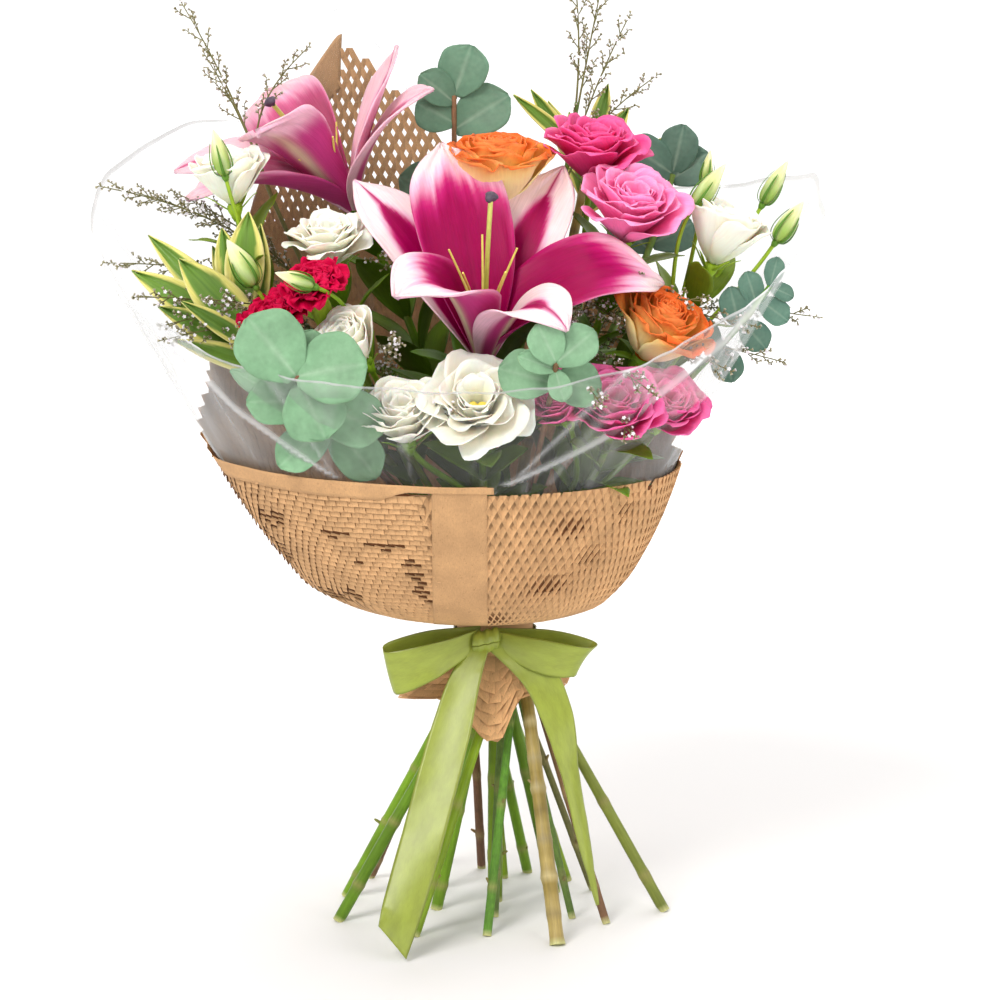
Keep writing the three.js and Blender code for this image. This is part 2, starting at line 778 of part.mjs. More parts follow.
// Green parts
function cupForm({ at, aim, kind }) {
  const seat = vec(at).addScaledVector(vec(aim).normalize(), -GAP);
  const frame = frameAt(seat.toArray(), aim);
  return (grow) => turned(frame, KINDS[kind].cup, 5, grow);
}

function budForm({ foot, tip, width }) {
  const aim = new THREE.Vector3().subVectors(vec(tip), vec(foot));
  const long = aim.length();
  const frame = frameAt(foot, aim.toArray());
  const outline = [
    [1.6, -3],
    [width * 0.5, long * 0.35],
    [0.8, long],
  ];
  return (grow) => turned(frame, outline, 5, grow);
}

function leafForm([foot, tip, width], face, blunt, widest, bend) {
  const [from, to] = [vec(foot), vec(tip)];
  const length = from.distanceTo(to);
  const bow = [width, width * 1.6];
  const shape = { length, width, lean: [-bend, bend], base: 0.16, widest, blunt, bow };
  return petal(leafFrame(from, to, face), shape, 1, 3);
}

// The point of a stem nearest to the foot of a leaf
function rootOn(route, foot) {
  const near = vec(foot);
  const spots = route.upper.getPoints(80);
  return spots.reduce((best, p) => (p.distanceTo(near) < best.distanceTo(near) ? p : best)).toArray();
}

// Long striped leaves: each grows from its share of the way up the stem to its own tip
function bladeForms(route, blades) {
  return blades.map(([at, tip, width]) => {
    const base = route.upper.getPointAt(at);
    const way = new THREE.Vector3().subVectors(vec(tip), base).normalize();
    const face = [0.3 * way.x, -1, 0.5];
    return leafForm([base.toArray(), tip, width], face, 1.1, 0.5, 14);
  });
}

// Sea lavender: thin twigs to each tip, with spikelets of small florets on their outer part
function sprayForms(route, { at, tips }, seed) {
  const forms = [];
  const start = route.upper.getPointAt(at);
  const ahead = route.upper.getTangentAt(at);
  tips.forEach((tip, i) => {
    const end = vec(tip);
    const reach = start.distanceTo(end);
    const middle = start.clone().addScaledVector(ahead, reach * 0.5);
    const twig = new THREE.QuadraticBezierCurve3(start, middle, end);
    forms.push((grow) => bar(twig, 0.7, 3, 2, grow));
    const count = 2;
    for (let k = 0; k < count; k++) {
      const share = lerp(0.5, 1, (k + 1) / count);
      const base = twig.getPoint(share);
      const on = twig.getTangent(share);
      const turn = k * 2.4 + i + seed;
      const side = new THREE.Vector3(0, 1, 0).cross(on).normalize().applyAxisAngle(on, turn);
      const way = on.clone().addScaledVector(side, k === count - 1 ? 0 : 0.7);
      const frame = frameAt(base.addScaledVector(way, -1).toArray(), way.toArray());
      forms.push((grow) => turned(frame, [[0.5, 0], [1.5, 7], [0.5, 11]], 3, grow));
    }
  });
  return forms;
}

// The pistil and stamens that stand in the throat of a lily
function pistilForms({ at, aim }, style) {
  const frame = frameAt(at, aim);
  const rod = (turn, out, up, r, sides) => {
    const points = [[1.2, 24], [out * 0.35, up * 0.6], [out, up]].map(([d, h]) =>
      new THREE.Vector3(d * Math.cos(turn), d * Math.sin(turn), h).applyMatrix4(frame),
    );
    const curve = new THREE.QuadraticBezierCurve3(...points);
    return (grow) => bar(curve, r, sides, 2, grow);
  };
  const knob = frameAt(vec(style).applyMatrix4(frame).toArray(), aim);
  return [
    (grow) => turned(frame, [[2.4, 22.4], [3.2, 24], [2, 26]], 5, grow),
    rod(Math.atan2(style[1], style[0]), Math.hypot(style[0], style[1]), style[2], 1.3, 5),
    (grow) => turned(knob, [[1.6, -1.5], [3.4, 1.5], [2, 3.5]], 5, grow),
    ...Array.from({ length: 5 }, (_, i) => rod(rad(20 + 72 * i), 19, style[2] - 32, 0.7, 3)),
  ];
}

// The paper wrap by height: its reach from its own middle, and how far that middle is shifted to the left
const PAPER_REACH = [
  [168, 21.4],
  [169, 36],
  [171, 52],
  [175, 68],
  [181, 79],
  [190, 90],
  [210, 104],
  [233, 118],
  [255, 128],
  [277, 139],
  [330, 146],
  [400, 142],
  [490, 132],
];
const PAPER_SHIFT = [
  [168, 0],
  [171, -8],
  [188, -16],
  [277, -28],
  [490, -28],
];

// Heights and reaches of edges by the angle round the wrap, in degrees from the right; the front is at 270
const PAPER_RIM = [
  [0, 259],
  [20, 270],
  [40, 318],
  [67, 385],
  [91, 430],
  [103, 458],
  [117, 492],
  [131, 450],
  [150, 338],
  [165, 290],
  [180, 272],
  [200, 264],
  [270, 260],
  [330, 256],
  [360, 259],
];
const FILM_RIM = [
  [0, 390],
  [15, 412],
  [35, 400],
  [60, 398],
  [90, 420],
  [120, 440],
  [145, 436],
  [160, 412],
  [180, 367],
  [200, 350],
  [225, 325],
  [250, 314],
  [290, 312],
  [315, 330],
  [340, 365],
  [360, 390],
];
const COLLAR_REACH = [
  [0, 40],
  [45, 38],
  [90, 41],
  [135, 40],
  [180, 44],
  [205, 58],
  [235, 43],
  [262, 41.5],
  [275, 41.5],
  [290, 38],
  [320, 42],
  [360, 40],
];
const COLLAR_Z = [
  [0, 135],
  [45, 136],
  [90, 127],
  [135, 131],
  [180, 131],
  [205, 124],
  [235, 128],
  [262, 104],
  [275, 104],
  [290, 130],
  [320, 128],
  [360, 135],
];
const DEPTH_SHARE = 0.85; // the wrap is less deep than wide
const WRAP_TURNS = 20;
const BOWL_ROWS = 5;

function wrapPoint(turn, reach, z, shift) {
  const deep = lerp(1, DEPTH_SHARE, Math.min(1, Math.max(0, (reach - 22) / 60)));
  const [x, y] = [reach * Math.cos(turn), reach * deep * Math.sin(turn)];
  return new THREE.Vector3(shift + x, y + shift * 0.18, z);
}

function bowlRow(turn, rim) {
  return Array.from({ length: BOWL_ROWS }, (_, j) => {
    const z = lerp(NECK.high, rim, ((j + 1) / BOWL_ROWS) ** 1.7);
    return wrapPoint(turn, along(PAPER_REACH, z), z, along(PAPER_SHIFT, z));
  });
}

function paperRows() {
  return Array.from({ length: WRAP_TURNS }, (_, i) => {
    const degrees = (360 * i) / WRAP_TURNS;
    const turn = rad(degrees);
    const edge = wrapPoint(turn, along(COLLAR_REACH, degrees), along(COLLAR_Z, degrees), 0);
    const reach = lerp(NECK.kraft, along(COLLAR_REACH, degrees), 0.42);
    const mid = wrapPoint(turn, reach, lerp(NECK.low, edge.z, 0.55), 0);
    const neck = [NECK.low, NECK.high].map((z) => wrapPoint(turn, NECK.kraft, z, 0));
    return [edge, mid, ...neck, ...bowlRow(turn, along(PAPER_RIM, degrees))];
  });
}

// The film lies inside the paper up to its rim, and leans out above it.
function filmRows() {
  const paper = paperRows();
  const step = SHEET_T + 0.5;
  const neck = 2;
  return paper.map((row, i) => {
    const next = paper[(i + 1) % WRAP_TURNS];
    const before = paper[(i + WRAP_TURNS - 1) % WRAP_TURNS];
    const inside = row.slice(neck).map((p, k) => {
      const j = k + neck;
      const du = new THREE.Vector3().subVectors(next[j], before[j]);
      const dv = new THREE.Vector3().subVectors(row[Math.min(j + 1, row.length - 1)], row[j - 1]);
      return p.clone().addScaledVector(du.cross(dv).normalize(), -step);
    });
    const degrees = (360 * i) / WRAP_TURNS;
    const last = inside.at(-1);
    const rise = Math.max(12, along(FILM_RIM, degrees) - last.z);
    const out = new THREE.Vector3(Math.cos(rad(degrees)), DEPTH_SHARE * Math.sin(rad(degrees)), 0);
    const above = [0.5, 1].map((s) => {
      const p = last.clone().addScaledVector(out, FLARE * rise * s);
      return p.setZ(last.z + rise * s);
    });
    return [...inside, ...above];
  });
}

// The satin ribbon: two loops and two tails, as centre points and the half-width there, from a knot
const RIBBON_STRIPS = [
  {
    centres: [
      [-8, -31, 161], [-34, -46, 151], [-57, -45, 144], [-59, -38, 146], [-42, -31, 154], [-8, -28, 162],
    ],
    sides: [[0, 0, 5], [-1, 0, 10], [-3, 0, 12], [-3, 0, 12], [0, 0, 10], [0, 0, 5]],
  },
  {
    centres: [
      [-2, -31, 160], [22, -44, 154], [45, -44, 150], [50, -38, 151], [32, -31, 156], [-2, -28, 161],
    ],
    sides: [[0, 0, 5], [2, 0, 9], [6, 0, 8.5], [6, 0, 8.5], [2, 0, 9], [0, 0, 5]],
  },
  {
    centres: [
      [-8, -33, 160], [-16, -42, 142], [-26, -60, 108], [-38, -82, 66], [-49, -102, 30], [-55, -112, 11],
    ],
    sides: [[6, -1, 0], [9, -1, 1], [12, -1, 2], [12.3, -1, 2], [11, -1, -2], [7.5, -1, -9]],
  },
  {
    centres: [
      [-2, -33, 161], [22, -42, 145], [34, -50, 122], [42, -60, 90], [50, -72, 52], [56, -80, 22],
    ],
    sides: [[4, 0, 4], [7, 1, 7], [8, 2, 4], [4.5, 4, 2], [3, 3, 1], [0.8, 1, 0]],
  },
];

function strip(centres, sides, grow) {
  const curve = smooth(centres.map(vec));
  const steps = centres.length + 1;
  const rows = Array.from({ length: steps + 1 }, (_, i) => {
    const place = (i / steps) * (sides.length - 1);
    const k = Math.min(sides.length - 2, Math.floor(place));
    const half = vec(sides[k]).lerp(vec(sides[k + 1]), place - k);
    return [-1, 1].map((s) => curve.getPoint(i / steps).addScaledVector(half, s));
  });
  return sheet(rows, SHEET_T, grow);
}

// A ring or knob about the upright axis, from a closed profile of [radius, height]
function lathed(profile, segments, at = [0, 0, 0]) {
  const points = profile.map(([r, z]) => new THREE.Vector2(r, z));
  return solidOf(new THREE.LatheGeometry(points, segments).rotateX(Math.PI / 2).translate(...at));
}

function ribbonForms() {
  const [inner, outer] = [NECK.ribbon, NECK.ribbon + SHEET_T];
  const band = [[inner, 153], [outer, 153], [outer, 167], [inner, 167], [inner, 153]];
  const knot = [[0, -9], [6, -7], [8.5, 0], [6, 7], [0, 9]];
  return [
    () => lathed(band, 18),
    (grow) => lathed(knot.map(([r, z]) => [r > 0 ? r + grow : 0, z]), 8, [-5, -30, 157.5]),
    ...RIBBON_STRIPS.map(({ centres, sides }) => (grow) => strip(centres, sides, grow)),
  ];
}

function twineForm(grow) {
  const { inner, outer, half } = TWINE;
  const flat = half * 0.7;
  const section = [[inner, -half], [outer, -flat], [outer, flat], [inner, half], [inner, -half]];
  return lathed(section.map(([r, z]) => [r === inner ? r - grow : r + grow, TIE_Z + z]), 16);
}

// Every piece: its firm parts keep their whole form, and its finer parts give way.
const pieces = [];
const addPiece = (name, firm, fine, color, roughness = 0.6, room = null) =>
  pieces.push({ name, firm, fine, color, roughness, around: room });

addPiece("kraft_wrap", [(grow) => sheet(paperRows(), SHEET_T, grow, true)], [], 0xc69a68, 0.9);
addPiece("film_wrap", [(grow) => sheet(filmRows(), SHEET_T, grow, true)], [], 0xe8ecee, 0.15);
addPiece("twine_tie", [twineForm], [], 0x9a7b4f, 0.9);
addPiece("ribbon_bow", ribbonForms(), [], 0x9aa955, 0.45);

for (const route of routes) {
  const stem = STEMS[route.name];
  const own = shoots.filter((shoot) => shoot.name === route.name);
  const firm = [(grow) => bar(route.curve, stem.r, 5, 11, grow).trimByPlane([0, 0, 1], 0)];
  for (const shoot of own) firm.push((grow) => bar(shoot.upper, shoot.r, 4, 3, grow));
  for (const item of [stem, ...(stem.shoots ?? [])]) if (item.bloom) firm.push(cupForm(BLOOMS[item.bloom]));
  for (const bud of stem.buds ?? []) firm.push(budForm(bud));
  const fine = (stem.leaves ?? []).map(([foot, tip, width]) =>
    leafForm([rootOn(route, foot), tip, width], [0, -1, 0.35], 1.8, 0.5, 6),
  );
  if (stem.blades) fine.push(...bladeForms(route, stem.blades));
  (stem.sprays ?? []).forEach((spray, i) => fine.push(...sprayForms(route, spray, i)));
  addPiece(route.name, firm, fine, stem.color);
}

for (const [name, bloom] of Object.entries(BLOOMS)) {
  const kind = KINDS[bloom.kind];
  const frame = frameAt(bloom.at, bloom.aim);
  const core = (grow) => turned(frame, kind.core(bloom.size), 5, grow);
  const fine = kind.petals(bloom).map((given) => petal(frame, given, ...kind.grid));
  const room = kind.room && ((grow) => turned(frame, kind.room(bloom.size, bloom.open), 8, grow));
  addPiece(name, [core], fine, bloom.color, 0.55, room);
}
addPiece("lily_front_pistil", pistilForms(BLOOMS.lily_front_petals, [4, 6, 104]), [], 0xb9bf4a);
addPiece("lily_back_pistil", pistilForms(BLOOMS.lily_back_petals, [3, -8, 80]), [], 0xb9bf4a);

const union = (solids) => (solids.length > 1 ? wasm.Manifold.union(solids) : solids[0]);
const apart = (a, b) => [0, 1, 2].some((k) => a.min[k] > b.max[k] || b.min[k] > a.max[k]);

for (const piece of pieces) {
  piece.solid = union(piece.firm.map((form) => form(0)));
  piece.room = union(piece.firm.map((form) => form(GAP)));
  piece.roomBox = piece.room.boundingBox();
  if (!piece.fine.length) continue;
  piece.detail = union(piece.fine.map((form) => form(0)));
  piece.detailRoom = piece.around ? piece.around(GAP) : union(piece.fine.map((form) => form(GAP)));
  piece.detailBox = piece.detailRoom.boundingBox();
}

// The finer parts of a piece give way to the firm parts of all others, and to the finer parts of those
// before it.
function bodyOf(piece, i) {
  if (!piece.detail) return piece.solid;
  let { detail } = piece;
  pieces.forEach((other, j) => {
    if (j === i) return;
    if (!apart(piece.detailBox, other.roomBox)) detail = detail.subtract(other.room);
    const earlier = j < i && other.detail && !apart(piece.detailBox, other.detailBox);
    if (earlier) detail = detail.subtract(other.detailRoom);
  });
  return piece.solid.add(detail);
}

const bouquet = new THREE.Group();
pieces.forEach((piece, i) => {
  const scraps = bodyOf(piece, i).simplify(0.12).decompose();
  const [body] = scraps.sort((a, b) => b.volume() - a.volume());
  const { vertProperties, triVerts } = body.getMesh();
  const geometry = new THREE.BufferGeometry();
  geometry.setAttribute("position", new THREE.BufferAttribute(vertProperties, 3));
  geometry.setIndex(new THREE.BufferAttribute(triVerts, 1));
  geometry.computeVertexNormals();
  const { color, roughness } = piece;
  const material = new THREE.MeshStandardMaterial({ color, roughness, metalness: 0 });
  const mesh = new THREE.Mesh(geometry, material);
  mesh.name = piece.name;
  bouquet.add(mesh);
});

export default bouquet;
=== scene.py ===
# A hand-tied bouquet of mixed cut flowers, dressed for rendering. Sizes are in millimetres and become metres
# when a piece is made. Every piece follows the form and place of the solid that it stands for.

import json
import math
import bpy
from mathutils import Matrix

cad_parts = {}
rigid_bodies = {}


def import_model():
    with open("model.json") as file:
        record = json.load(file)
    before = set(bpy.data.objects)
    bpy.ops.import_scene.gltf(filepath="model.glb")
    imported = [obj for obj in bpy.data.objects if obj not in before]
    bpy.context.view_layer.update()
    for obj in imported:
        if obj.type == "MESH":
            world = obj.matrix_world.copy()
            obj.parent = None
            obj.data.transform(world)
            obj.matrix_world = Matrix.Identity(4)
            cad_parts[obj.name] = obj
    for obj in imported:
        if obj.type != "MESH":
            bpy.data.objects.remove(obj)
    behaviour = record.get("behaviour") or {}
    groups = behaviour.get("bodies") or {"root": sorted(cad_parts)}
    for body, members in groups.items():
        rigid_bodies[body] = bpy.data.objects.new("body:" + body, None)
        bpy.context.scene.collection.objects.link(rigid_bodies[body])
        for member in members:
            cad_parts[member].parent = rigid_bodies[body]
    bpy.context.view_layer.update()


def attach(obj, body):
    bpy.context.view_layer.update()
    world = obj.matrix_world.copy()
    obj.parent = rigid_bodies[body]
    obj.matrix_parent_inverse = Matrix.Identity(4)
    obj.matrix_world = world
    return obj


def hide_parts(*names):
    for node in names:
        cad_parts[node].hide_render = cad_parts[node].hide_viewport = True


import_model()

from types import SimpleNamespace

import bpy
import numpy as np
from mathutils import Vector

# Driving sizes, as in the solids
TIE_Z = 160
INNER_R = 6.85  # ring of the inner stems at the tie
BUNCH_R = 16.95  # outside of the bunch at the tie
SPARE = 0.77  # room between the outer stems there
GAP = 0.3
NECK_LOW, NECK_HIGH, NECK_R = 152, 168, 21.4  # the paper's neck
TWINE_R = 18.55
RIBBON_R = 23.1
FLARE = 0.58  # how far the film leans outwards
DEPTH_SHARE = 0.85  # depth of the bowl as a share of its width
ROUTE_POINTS = 9
GOLDEN = math.radians(137.5)
TAU = 2 * math.pi
PHASE = 6.28  # a random phase is a share of this

# Steps across and along a petal or leaf, stations along a stem, and the paper's strands and scales round it
FINE = dict(lily=(26, 42), rose=(14, 17), lisianthus=(16, 18), carnation=(24, 12), round_leaf=(14, 16),
            striped_leaf=(14, 22), pointed_leaf=(6, 12), plain_leaf=(8, 16))
STATIONS = 110
STRANDS, STRAND_HEIGHT = 132, 6.2
SCALES, SCALE_HEIGHT = 120, 3.4
# Thickness of the sheets
THICK = dict(lily=0.8, rose=0.45, lisianthus=0.4, carnation=0.4, round_leaf=0.45, striped_leaf=0.4, leaf=0.35,
             sepal=0.3, paper=0.25, ribbon=0.5)


def rgb(value):
    """Linear colour of a hex value."""
    parts = np.array([(value >> 16) & 255, (value >> 8) & 255, value & 255]) / 255
    return np.where(parts <= 0.04045, parts / 12.92, ((parts + 0.055) / 1.055) ** 2.4)


def draw(seed, i):
    """Seeded values from 0 to 1, one for each number in i."""
    x = np.sin(seed * 12.9898 + np.asarray(i) * 78.233) * 43758.5453
    return x - np.floor(x)


def lerp(a, b, t):
    return a + (b - a) * t


def unit(v):
    v = np.asarray(v, float)
    return v / np.maximum(np.linalg.norm(v, axis=-1, keepdims=True), 1e-9)


def smoothstep(low, high, x):
    t = np.clip((np.asarray(x, float) - low) / (high - low), 0, 1)
    return t * t * (3 - 2 * t)


def blend(colour, *layers):
    """A colour with others laid over it, each with its share, as one number or for each vertex."""
    for tint, share in layers:
        colour, tint = (rgb(c) if isinstance(c, int) else c for c in (colour, tint))
        colour = colour + (tint - colour) * np.clip(share, 0, 1)[..., None]
    return colour


def along(table, x):
    """Values of a table of (place, value) pairs at x."""
    return np.interp(x, *np.asarray(table, float).T)


def xyz(*parts):
    """Points or grains from three arrays or numbers."""
    return np.stack(np.broadcast_arrays(*parts), axis=-1)


def around(turn, r, h):
    """Points at an angle and radius round the upright axis, at a height."""
    return xyz(r * np.cos(turn), r * np.sin(turn), h)


def spun(points, turn):
    c, s = math.cos(turn), math.sin(turn)
    return points @ np.array([[c, s, 0], [-s, c, 0], [0, 0, 1]])


def lengths(path):
    """Distance along a path at each of its points."""
    return np.concatenate([[0], np.cumsum(np.linalg.norm(np.diff(path, axis=0), axis=1))])


def quads_of(m, n, wrapped=False):
    """Faces between m rows of n points each."""
    i, j = np.arange(m if wrapped else m - 1)[:, None], np.arange(n - 1)[None, :]
    here, ahead = i * n + j, (i + 1) % m * n + j
    return np.stack([here, ahead, ahead + 1, here + 1], axis=-1).reshape(-1, 4)


def waves(seed, *args):
    """A smooth wandering value, about -1 to 1, from a few sines of each argument."""
    total = 0
    for k, a in enumerate(args):
        a = np.asarray(a, float)
        p = PHASE * draw(seed, [3 * k, 3 * k + 1, 3 * k + 2])
        total = total + np.sin(a + p[0]) + 0.6 * np.sin(2.3 * a + p[1]) + 0.4 * np.sin(4.1 * a + p[2])
    return total / (2 * len(args))


# Mesh making
class Form:
    """Vertices and faces of one piece, with the grain and tint that its materials read."""

    def __init__(self):
        self.points, self.grain, self.tint, self.quads, self.quad_kinds = [], [], [], [], []
        self.count = 0

    def add(self, points, quads, grain, tint, kind=0):
        points = np.asarray(points, float).reshape(-1, 3)
        self.points.append(points)
        for kept, given in ((self.grain, grain), (self.tint, tint)):
            given = np.asarray(given, float)
            kept.append(np.broadcast_to(given.reshape(-1, 3) if given.ndim > 1 else given, points.shape))
        self.quads.append(quads + self.count)
        self.quad_kinds.append(np.full(len(quads), kind))
        self.count += len(points)

    def grid(self, rows, grain, tint, kind=0):
        """One layer over a grid of points whose last row meets the first."""
        self.add(rows, quads_of(*rows.shape[:2], wrapped=True), grain, tint, kind)

    def sheet(self, rows, thick, grain, tint, back=None, kind=0):
        """A thin closed sheet with rows as its middle; back is the tint of its other face."""
        m, n = rows.shape[:2]
        k = m * n
        lift = unit(np.cross(np.gradient(rows, axis=0), np.gradient(rows, axis=1))) * thick / 2
        top = quads_of(m, n)
        a, b, last = np.arange(m - 1) * n, np.arange(n - 1), (m - 1) * n
        edges = (a, a + n), (a + 2 * n - 1, a + n - 1), (b + 1, b), (b + last, b + last + 1)
        rim = [np.stack([p, p + k, q + k, q], axis=-1) for p, q in edges]
        back = tint if back is None else back
        grain, tint, back = (np.broadcast_to(x, rows.shape).reshape(-1, 3) for x in (grain, tint, back))
        self.add(
            np.concatenate([rows + lift, rows - lift]).reshape(-1, 3),
            np.concatenate([top, top[:, ::-1] + k, *rim]),
            np.concatenate([grain, grain]), np.concatenate([tint, back]), kind,
        )

    def tube(self, path, radii, sides, tint, kind=0, seed=0):
        """A round bar along a path of points, closed at both ends."""
        path = np.asarray(path, float)
        n = len(path)
        radii = np.broadcast_to(np.asarray(radii, float), (n,))
        tangent = unit(np.gradient(path, axis=0))
        side = np.cross(tangent[0], [0.3, 0.9, 0.2])
        frames = np.zeros((n, 2, 3))
        for k in range(n):
            side = unit(side - tangent[k] * np.dot(side, tangent[k]))
            frames[k] = side, np.cross(tangent[k], side)
        turn = np.arange(sides)[:, None] * TAU / sides
        ring = np.cos(turn)[..., None] * frames[:, 0] + np.sin(turn)[..., None] * frames[:, 1]
        rows = path + ring * radii[:, None]
        tint = np.broadcast_to(np.asarray(tint, float), rows.shape)
        self.grid(rows, xyz(turn * radii.mean(), lengths(path), seed), tint, kind)
        i = np.arange(0, sides, 2)
        quads = np.stack([i, (i + 1) % sides, (i + 2) % sides, np.full_like(i, sides)], axis=-1)
        for k, way in ((0, -1), (n - 1, 1)):
            centre = path[k] + tangent[k] * way * radii[k] * 0.15
            points = np.concatenate([rows[:, k], centre[None]])
            self.add(points, quads[:, ::way], [0, 0, seed], tint[0, k], kind)

    def make(self, node, slot, *materials):
        """The finished piece, riding on the root and standing for its node. No point is below the floor."""
        points = np.concatenate(self.points) * 0.001
        points[:, 2] = np.maximum(points[:, 2], 0)
        quads = np.concatenate(self.quads)
        mesh = bpy.data.meshes.new(node + "_fine")
        mesh.vertices.add(len(points))
        mesh.vertices.foreach_set("co", points.astype(np.float32).ravel())
        mesh.loops.add(quads.size)
        mesh.loops.foreach_set("vertex_index", quads.astype(np.int32).ravel())
        mesh.polygons.add(len(quads))
        mesh.polygons.foreach_set("loop_start", (np.arange(len(quads)) * 4).astype(np.int32))
        mesh.polygons.foreach_set("material_index", np.concatenate(self.quad_kinds).astype(np.int32))
        grain = mesh.attributes.new("grain", "FLOAT_VECTOR", "POINT")
        grain.data.foreach_set("vector", np.concatenate(self.grain).astype(np.float32).ravel())
        tint = mesh.attributes.new("tint", "FLOAT_COLOR", "POINT")
        colours = np.ones((len(points), 4), np.float32)
        colours[:, :3] = np.clip(np.concatenate(self.tint), 0, 1)
        tint.data.foreach_set("color", colours.ravel())
        mesh.update(calc_edges=True)
        mesh.polygons.foreach_set("use_smooth", np.full(len(quads), True))
        for material in materials:
            mesh.materials.append(MATERIALS[material])
        piece = bpy.data.objects.new(node + "_fine", mesh)
        bpy.context.collection.objects.link(piece)
        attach(piece, "root")
        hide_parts(node)
        return piece


def bloom_frame(bloom, below=0):
    """The frame of a bloom, or of a place below it on its axis."""
    return frame_at(np.asarray(bloom["at"], float) - unit(bloom["aim"]) * below, bloom["aim"])


def frame_at(at, aim, roll=0):
    """Origin and axes of a frame whose +Z points along aim."""
    z = unit(aim)
    x = np.cross([0, 0, 1], z)
    x = np.array([1.0, 0, 0]) if np.dot(x, x) < 1e-6 else unit(x)
    if roll:
        y = np.cross(z, x)
        x = x * math.cos(roll) + y * math.sin(roll)
    return np.asarray(at, float), np.stack([x, np.cross(z, x), z])


def placed(points, frame_):
    origin, axes = frame_
    return origin + np.asarray(points, float) @ axes


def turned(form, frame_, outline, sides, tint, kind=0):
    """A closed solid of revolution in a frame, from (radius, height) pairs."""
    r, h = np.asarray([(0.01, outline[0][1]), *outline, (0.01, outline[-1][1])], float).T
    turn = np.arange(sides)[:, None] * TAU / sides
    form.grid(placed(around(turn, r, h), frame_), xyz(turn * r.max(), h, 0), tint, kind)


# Paths
def catmull(points, per=12):
    """Points along a centripetal Catmull-Rom curve, as dense as per for each span."""
    p = np.asarray(points, float)
    ends = [2 * p[0] - p[1]], [2 * p[-1] - p[-2]]
    p = np.concatenate([ends[0], p, ends[1]])
    dense = []
    for k in range(1, len(p) - 2):
        x0, x1, x2, x3 = p[k - 1 : k + 3]
        d0, d1, d2 = (max(np.dot(b - a, b - a) ** 0.25, 1e-4) for a, b in ((x0, x1), (x1, x2), (x2, x3)))
        t1 = ((x1 - x0) / d0 - (x2 - x0) / (d0 + d1) + (x2 - x1) / d1) * d1
        t2 = ((x2 - x1) / d1 - (x3 - x1) / (d1 + d2) + (x3 - x2) / d2) * d1
        t = np.linspace(0, 1, per, endpoint=False)[:, None]
        square, cube = -3 * x1 + 3 * x2 - 2 * t1 - t2, 2 * x1 - 2 * x2 + t1 + t2
        dense.append(x1 + t1 * t + square * t**2 + cube * t**3)
    return np.concatenate([*dense, p[-2:-1]])


def at_shares(path, shares):
    """Points at shares of a path's length."""
    place = lengths(path)
    where = np.atleast_1d(shares) * place[-1]
    return np.stack([np.interp(where, place, path[:, k]) for k in range(3)], axis=-1)


def tangent_at(path, share):
    a, b = at_shares(path, [max(0, share - 0.004), min(1, share + 0.004)])
    return unit(b - a)


def bezier(points, count):
    t = np.linspace(0, 1, count)[:, None]
    p = [np.asarray(q, float) for q in points]
    if len(p) == 3:
        return (1 - t) ** 2 * p[0] + 2 * t * (1 - t) * p[1] + t**2 * p[2]
    return (1 - t) ** 3 * p[0] + 3 * t * (1 - t) ** 2 * p[1] + 3 * t**2 * (1 - t) * p[2] + t**3 * p[3]


# Materials
def nodes_of(name, **finish):
    """A new material, its tree and its shader; finish holds values of the shader's own sockets."""
    material = bpy.data.materials.new(name)
    material.use_nodes = True
    tree = material.node_tree
    shader = tree.nodes["Principled BSDF"]
    for key, value in finish.items():
        shader.inputs[key.replace("_", " ")].default_value = value
    return material, tree, shader


def linked(tree, kind, inputs=(), **settings):
    node = tree.nodes.new(kind)
    for key, value in settings.items():
        setattr(node, key, value)
    for key, value in dict(inputs).items():
        if isinstance(value, bpy.types.NodeSocket):
            tree.links.new(value, node.inputs[key])
        else:
            node.inputs[key].default_value = value
    return node


def attribute(tree, name, output):
    return linked(tree, "ShaderNodeAttribute", attribute_name=name).outputs[output]


def noise(tree, vector, scale, detail=3, rough=0.55):
    inputs = {"Vector": vector, "Scale": scale, "Detail": detail, "Roughness": rough}
    return linked(tree, "ShaderNodeTexNoise", inputs).outputs["Fac"]


def stretched(tree, vector, x, y, z=1):
    inputs = {"Vector": vector, "Scale": (x, y, z)}
    return linked(tree, "ShaderNodeMapping", inputs).outputs["Vector"]


def ranged(tree, value, low, high, to_low, to_high):
    inputs = {"Value": value, "From Min": low, "From Max": high, "To Min": to_low, "To Max": to_high}
    return linked(tree, "ShaderNodeMapRange", inputs).outputs["Result"]


def mixed(tree, factor, a, b, how="MIX"):
    return linked(tree, "ShaderNodeMix", {0: factor, 6: a, 7: b}, data_type="RGBA", blend_type=how).outputs[2]


def reckoned(tree, a, b, how="ADD", **settings):
    return linked(tree, "ShaderNodeMath", {0: a, 1: b}, operation=how, **settings).outputs[0]


def toned(tree, colour, *shades):
    """A colour multiplied by greys, each from a noise whose middle is stretched to a low and a high value."""
    for value, low, high in shades:
        grey = ranged(tree, value, 0.3, 0.7, low, high)
        parts = dict.fromkeys(("Red", "Green", "Blue"), grey)
        grey = linked(tree, "ShaderNodeCombineColor", parts).outputs["Color"]
        colour = mixed(tree, 1, colour, grey, "MULTIPLY")
    return colour


def bumped(tree, shader, height, strength, distance=0.0004):
    inputs = {"Height": height, "Strength": strength, "Distance": distance}
    tree.links.new(linked(tree, "ShaderNodeBump", inputs).outputs["Normal"], shader.inputs["Normal"])


